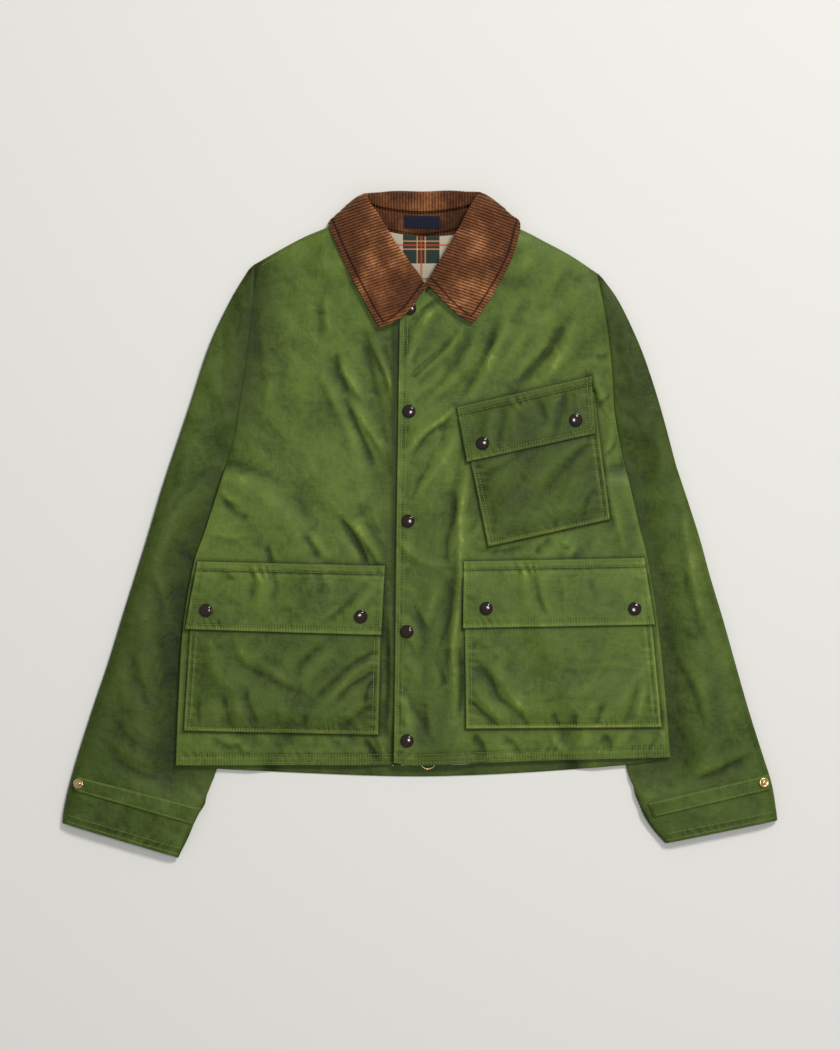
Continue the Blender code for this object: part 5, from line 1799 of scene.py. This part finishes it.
def repeated(name, rows, kind, pitch, size, unevenness, seed, material):
    tree, sockets = repeatTree(name + "Tree", kind)
    verts, edges = [], []
    for row in rows:
        start = len(verts)
        verts.extend(((np.asarray(row) - middle) * mm).tolist())
        edges.extend((k, k + 1) for k in range(start, len(verts) - 1))
    mesh = bpy.data.meshes.new(name + "Rows")
    mesh.from_pydata(verts, edges, [])
    guide = linked(name + "Rows", mesh)
    modifier = guide.modifiers.new("repeat", "NODES")
    modifier.node_group = tree
    for label, value in (("pitch", pitch * mm), ("size", tuple(s * mm for s in size)),
                         ("unevenness", unevenness), ("seed", seed), ("finish", material)):
        modifier[sockets[label]] = value
    bpy.context.view_layer.update()
    graph = bpy.context.evaluated_depsgraph_get()
    made = bpy.data.meshes.new_from_object(guide.evaluated_get(graph))
    bpy.data.objects.remove(guide)
    bpy.data.meshes.remove(mesh)
    made.name = name
    if not made.materials:
        made.materials.append(material)
    return linked(name, made)


def boxy(name, outline, base, height, material, bevel=0.5):
    # an outline raised to a height, with its top edge rounded by an inset
    count = len(outline)
    pts = np.array(outline, float)
    centre = pts.mean(axis=0)
    inset = centre + (pts - centre) * (1 - bevel / np.linalg.norm(pts - centre, axis=1, keepdims=True))
    levels = [(pts, 0.0), (pts, height - bevel), (inset, height)]
    verts = [(x, y, base + z) for ring, z in levels for x, y in ring]
    faces = [list(range(count))[::-1], [2 * count + k for k in range(count)]]
    for level in range(2):
        a = level * count
        for k in range(count):
            n = (k + 1) % count
            faces.append([a + k, a + n, a + count + n, a + count + k])
    return plainMesh(name, verts, faces, material)


def makeZip():
    x0, x1, y0, y1 = zipShape["tape"]
    u, v = np.linspace(0, 1, 9), np.linspace(0, 1, 160)
    plan = quadGrid([(x0, y0), (x1, y0), (x1, y1), (x0, y1)], u, v)
    x, y = plan[..., 0], plan[..., 1]
    low = frontTop(x, y, "right") + clothShape["gap"]
    tape = shell("zipTape", plan, low, finishes["tape"], zipShape["tapeThickness"], {})
    ys = np.linspace(y0 + 4, y1 - 4, 120)
    rows = []
    for k, at in enumerate(zipShape["toothRows"]):
        xs = np.full(ys.shape, at)
        z = frontTop(xs, ys, "right") + clothShape["gap"] + zipShape["tapeThickness"] + zipShape["toothLift"]
        rows.append(np.stack([xs, ys + k * zipShape["toothPitch"] / 2, z], axis=-1))
    teeth = repeated("zipTeeth", rows, "tooth", zipShape["toothPitch"], zipShape["toothSize"],
                     zipShape["toothUnevenness"], zipShape["toothSeed"], finishes["brass"])
    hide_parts("zip_tape")
    return tape, teeth


zipTape, zipTeeth = makeZip()
madeSheets["zipTape"] = zipTape


def makePull():
    # slider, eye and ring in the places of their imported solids
    lowEye, highEye = (np.array(c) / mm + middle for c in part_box("zip_bail"))
    lowSlider, highSlider = (np.array(c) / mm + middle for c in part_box("zip_slider"))
    xs = (lowSlider[0] + highSlider[0]) / 2
    wide = (highSlider[0] - lowSlider[0]) / 2
    y0, y1 = lowSlider[1], highSlider[1]
    outline = [(xs - wide * 0.68, y0), (xs + wide * 0.68, y0), (xs + wide, y0 + 4), (xs + wide, y0 + 8),
               (xs + wide * 0.56, y1), (xs - wide * 0.56, y1), (xs - wide, y0 + 8), (xs - wide, y0 + 4)]
    slider = boxy("zipSlider", outline, lowSlider[2], highSlider[2] - lowSlider[2], finishes["brass"])
    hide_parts("zip_slider")
    eye = np.array([(lowEye[k] + highEye[k]) / 2 for k in range(3)])
    radius = (highEye[2] - lowEye[2]) / 2
    sides, hole = zipShape["eyeSides"], zipShape["eyeHole"]
    rings = []
    for x in (lowEye[0], highEye[0]):
        for reach, square in ((radius, True), (hole, False)):
            ring = []
            for k in range(sides):
                angle = 2 * math.pi * k / sides
                c, s = math.cos(angle), math.sin(angle)
                r = min(reach / max(abs(s), abs(c)), radius * 1.3) if square and c > 0 else reach
                ring.append((x, eye[1] + r * c, eye[2] + max(min(r * s, radius), -radius)))
            rings.append(ring)
    verts = [p for ring in rings for p in ring]
    faces = []
    for k in range(sides):
        n = (k + 1) % sides
        a, b, c, d = (r * sides for r in range(4))
        faces += [[a + n, a + k, b + k, b + n], [c + k, c + n, d + n, d + k],
                  [a + k, a + n, c + n, c + k], [b + n, b + k, d + k, d + n]]
    bail = addMesh("zipEye", verts, faces, finishes["brass"], sharp=30)
    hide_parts("zip_bail")
    verts, faces = [], []
    around, wire = zipShape["ringSides"], zipShape["wireSides"]
    tilt = math.radians(zipShape["tilt"])
    big, thin = zipShape["ringRadius"], zipShape["wire"]
    for k in range(around):
        a = 2 * math.pi * k / around
        for j in range(wire):
            b = 2 * math.pi * j / wire
            reach = big + thin * math.cos(b)
            px, py, pz = reach * math.sin(a), reach * math.cos(a) - big, thin * math.sin(b)
            verts.append((eye[0] + px, eye[1] + py * math.cos(tilt) + pz * math.sin(tilt),
                          eye[2] + pz * math.cos(tilt) - py * math.sin(tilt)))
            n, m = (k + 1) % around, (j + 1) % wire
            faces.append([k * wire + j, n * wire + j, n * wire + m, k * wire + m])
    ring = addMesh("pullRing", verts, faces, finishes["brass"], sharp=60)
    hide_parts("zip_ring")
    return slider, bail, ring


zipSlider, zipEye, pullRing = makePull()
print("zip made")


# Topstitching: rows a set distance inside the edges
stitchShape = {
    "pitch": 3.1,
    "size": (0.46, 0.40, 1.15),
    "unevenness": 0.12,
    "seed": 4,
}
seamShape = {"pitch": 1.5, "size": (0.62, 0.62, 1.3), "unevenness": 0.1, "seed": 9, "sink": 0.15}


def stitched(line, carriers, lift=0.2):
    # a row of thread on top of its carriers, split where it leaves them
    line = np.asarray(line, float)[:, :2]
    count = max(int(reaches(line)[-1] / 2.0), 2)
    points, row = along(line, np.linspace(0, 1, count)), []
    for x, y in points:
        z = heightOn(carriers, x, y)
        if z is None or (row and abs(z - row[-1][2]) > 4):
            if len(row) > 3:
                stitchRows.append(np.array(row))
            row = []
            if z is None:
                continue
        row.append((x, y, z + lift))
    if len(row) > 3:
        stitchRows.append(np.array(row))


def clippedLine(line, start, stop):
    return along(np.asarray(line, float), np.linspace(start, stop, 60))


def sew(line, start, stop, carrier):
    stitched(clippedLine(line, start, stop), [carrier])


def makeStitching():
    for side in sideNames:
        sign, end = signOf[side], side.capitalize()
        front, sleeve, strap = "frontPanel" + end, "sleeveTop" + end, "cuffStrap" + end
        for inset in sewn["hem"]:
            sew(offsetLine(frontHemLine[side], -sign * inset), 0.012, 0.985, front)
        sew(offsetLine(sideLine[side], sign * sewn["side"]), 0.06, 0.97, front)
        for inset in sewn["cuff"]:
            sew(offsetLine(cuffLine(side), sign * inset), 0.03, 0.96, sleeve)
        edges = edgeLines(strapShape[side])
        sew(edges["head"] - [0, sewn["strap"]], 0.02, 0.95, strap)
        sew(edges["foot"] + [0, sewn["strap"]], 0.02, 0.95, strap)
        sew(offsetLine(shoulderLine[side], sign * sewn["shoulder"]), 0.05, 0.62, front)
    for inset in sewn["placket"]:
        sew(frontEdgeLine["left"] + [inset, 0], 0.03, 0.985, "frontPanelLeft")
    for key in ("pocketRight", "pocketLeft", "pocketChest"):
        edges = edgeLines(pocketShape[key]["corners"])
        sew(edges["foot"] + [0, sewn["pocketFoot"]], 0.02, 0.98, key)
        for name, inward in (("start", 1), ("end", -1)):
            for inset in sewn["pocketEnds"]:
                sew(edges[name] + [inward * inset, 0], 0.03, 0.62, key)
    for key in ("flapRight", "flapLeft", "flapChest"):
        edges = edgeLines(flapShape[key]["corners"])
        for inset in sewn["flapHead"]:
            sew(edges["head"] - [0, inset], 0.01, 0.99, key)
        sew(edges["foot"] + [0, sewn["flapFoot"]], 0.03, 0.97, key)
        for name, inward in (("start", 1), ("end", -1)):
            sew(edges[name] + [inward * sewn["flapEnds"], 0], 0.09, 0.99, key)
    return repeated("topStitching", stitchRows, "stitch", stitchShape["pitch"], stitchShape["size"],
                    stitchShape["unevenness"], stitchShape["seed"], finishes["thread"])


def makeSeams():
    # the cord of thread and folded cloth down each armhole, where the sleeve is set in, drawn dark as painted
    # shade of the seam's valley
    rows = []
    for side in sideNames:
        line = np.concatenate([clippedLine(sideLine[side], 0.135, 0.0)[:-1],
                               clippedLine(armholeLine[side], 0.0, 0.985)])
        x, y = line[:, 0] + 0.2 * signOf[side], line[:, 1]
        z = [max(frontTop(x[k:k + 1], y[k:k + 1], side)[0], 0) - seamShape["sink"] for k in range(len(x))]
        rows.append(np.stack([x, y, z], axis=-1))
    return repeated("armholeSeams", rows, "stitch", seamShape["pitch"], seamShape["size"],
                    seamShape["unevenness"], seamShape["seed"], finishes["seam"])


topStitching = makeStitching()
armholeSeams = makeSeams()
print("stitch rows:", len(stitchRows), "faces:", len(topStitching.data.polygons))


for name, piece in madeSheets.items():
    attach(piece, "jacket")
for piece in caps:
    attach(piece, "jacket")
for piece in (zipTeeth, zipSlider, zipEye):
    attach(piece, "jacket")
for piece in (topStitching, armholeSeams):
    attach(piece, "jacket")
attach(pullRing, "pull_ring")


# Floor, light and camera
studio = {
    "floor": (0.785, 0.78, 0.752),
    "floorSize": 6.0,
    "keyPlace": (1.85, 2.7, 3.5),
    "keySize": 1.1,
    "keyPower": 139.0,
    "frontPlace": (0.42, 0.12, 3.3),
    "frontSize": 0.7,
    "frontPower": 26.0,
    "lampColour": (1.0, 0.975, 0.93),
    "sky": (0.95, 0.97, 1.0),
    "skyStrength": 0.34,
    "cameraPlace": (0.0001, -0.00025, 3.2),
    "frameHeight": 1.187,
    "sensor": 24.0,
}


def makeStudio():
    finish = Finish("floorPaper")
    grain = finish.cloud(60, 2, 0.5)
    warm = finish.mixed(grain * 0.4, studio["floor"], tuple(c * 0.985 for c in studio["floor"]))
    finish.set(Base_Color=warm, Roughness=0.9, Specular_IOR_Level=0.1)
    half = studio["floorSize"] / 2
    mesh = bpy.data.meshes.new("floor")
    corners = [(-half, -half, 0), (half, -half, 0), (half, half, 0), (-half, half, 0)]
    mesh.from_pydata(corners, [], [(0, 1, 2, 3)])
    mesh.materials.append(finish.material)
    linked("floor", mesh)

    for name in ("key", "front"):
        light = bpy.data.lights.new(name + "Light", "AREA")
        light.shape = "DISK"
        light.size = studio[name + "Size"]
        light.energy = studio[name + "Power"]
        light.color = studio["lampColour"]
        lamp = linked(name + "Light", light)
        lamp.location = studio[name + "Place"]
        lamp.rotation_euler = (-Vector(studio[name + "Place"])).to_track_quat("-Z", "Y").to_euler()

    world = bpy.data.worlds.new("studio")
    bpy.context.scene.world = world
    world.use_nodes = True
    back = world.node_tree.nodes["Background"]
    back.inputs["Color"].default_value = (*studio["sky"], 1)
    back.inputs["Strength"].default_value = studio["skyStrength"]

    data = bpy.data.cameras.new("overhead")
    data.sensor_fit = "VERTICAL"
    data.sensor_height = studio["sensor"]
    data.lens = studio["sensor"] * studio["cameraPlace"][2] / studio["frameHeight"]
    data.clip_end = 20
    camera = linked("overhead", data)
    camera.location = studio["cameraPlace"]
    bpy.context.scene.camera = camera
    bpy.context.scene.view_settings.view_transform = "Standard"


makeStudio()
print("studio made")
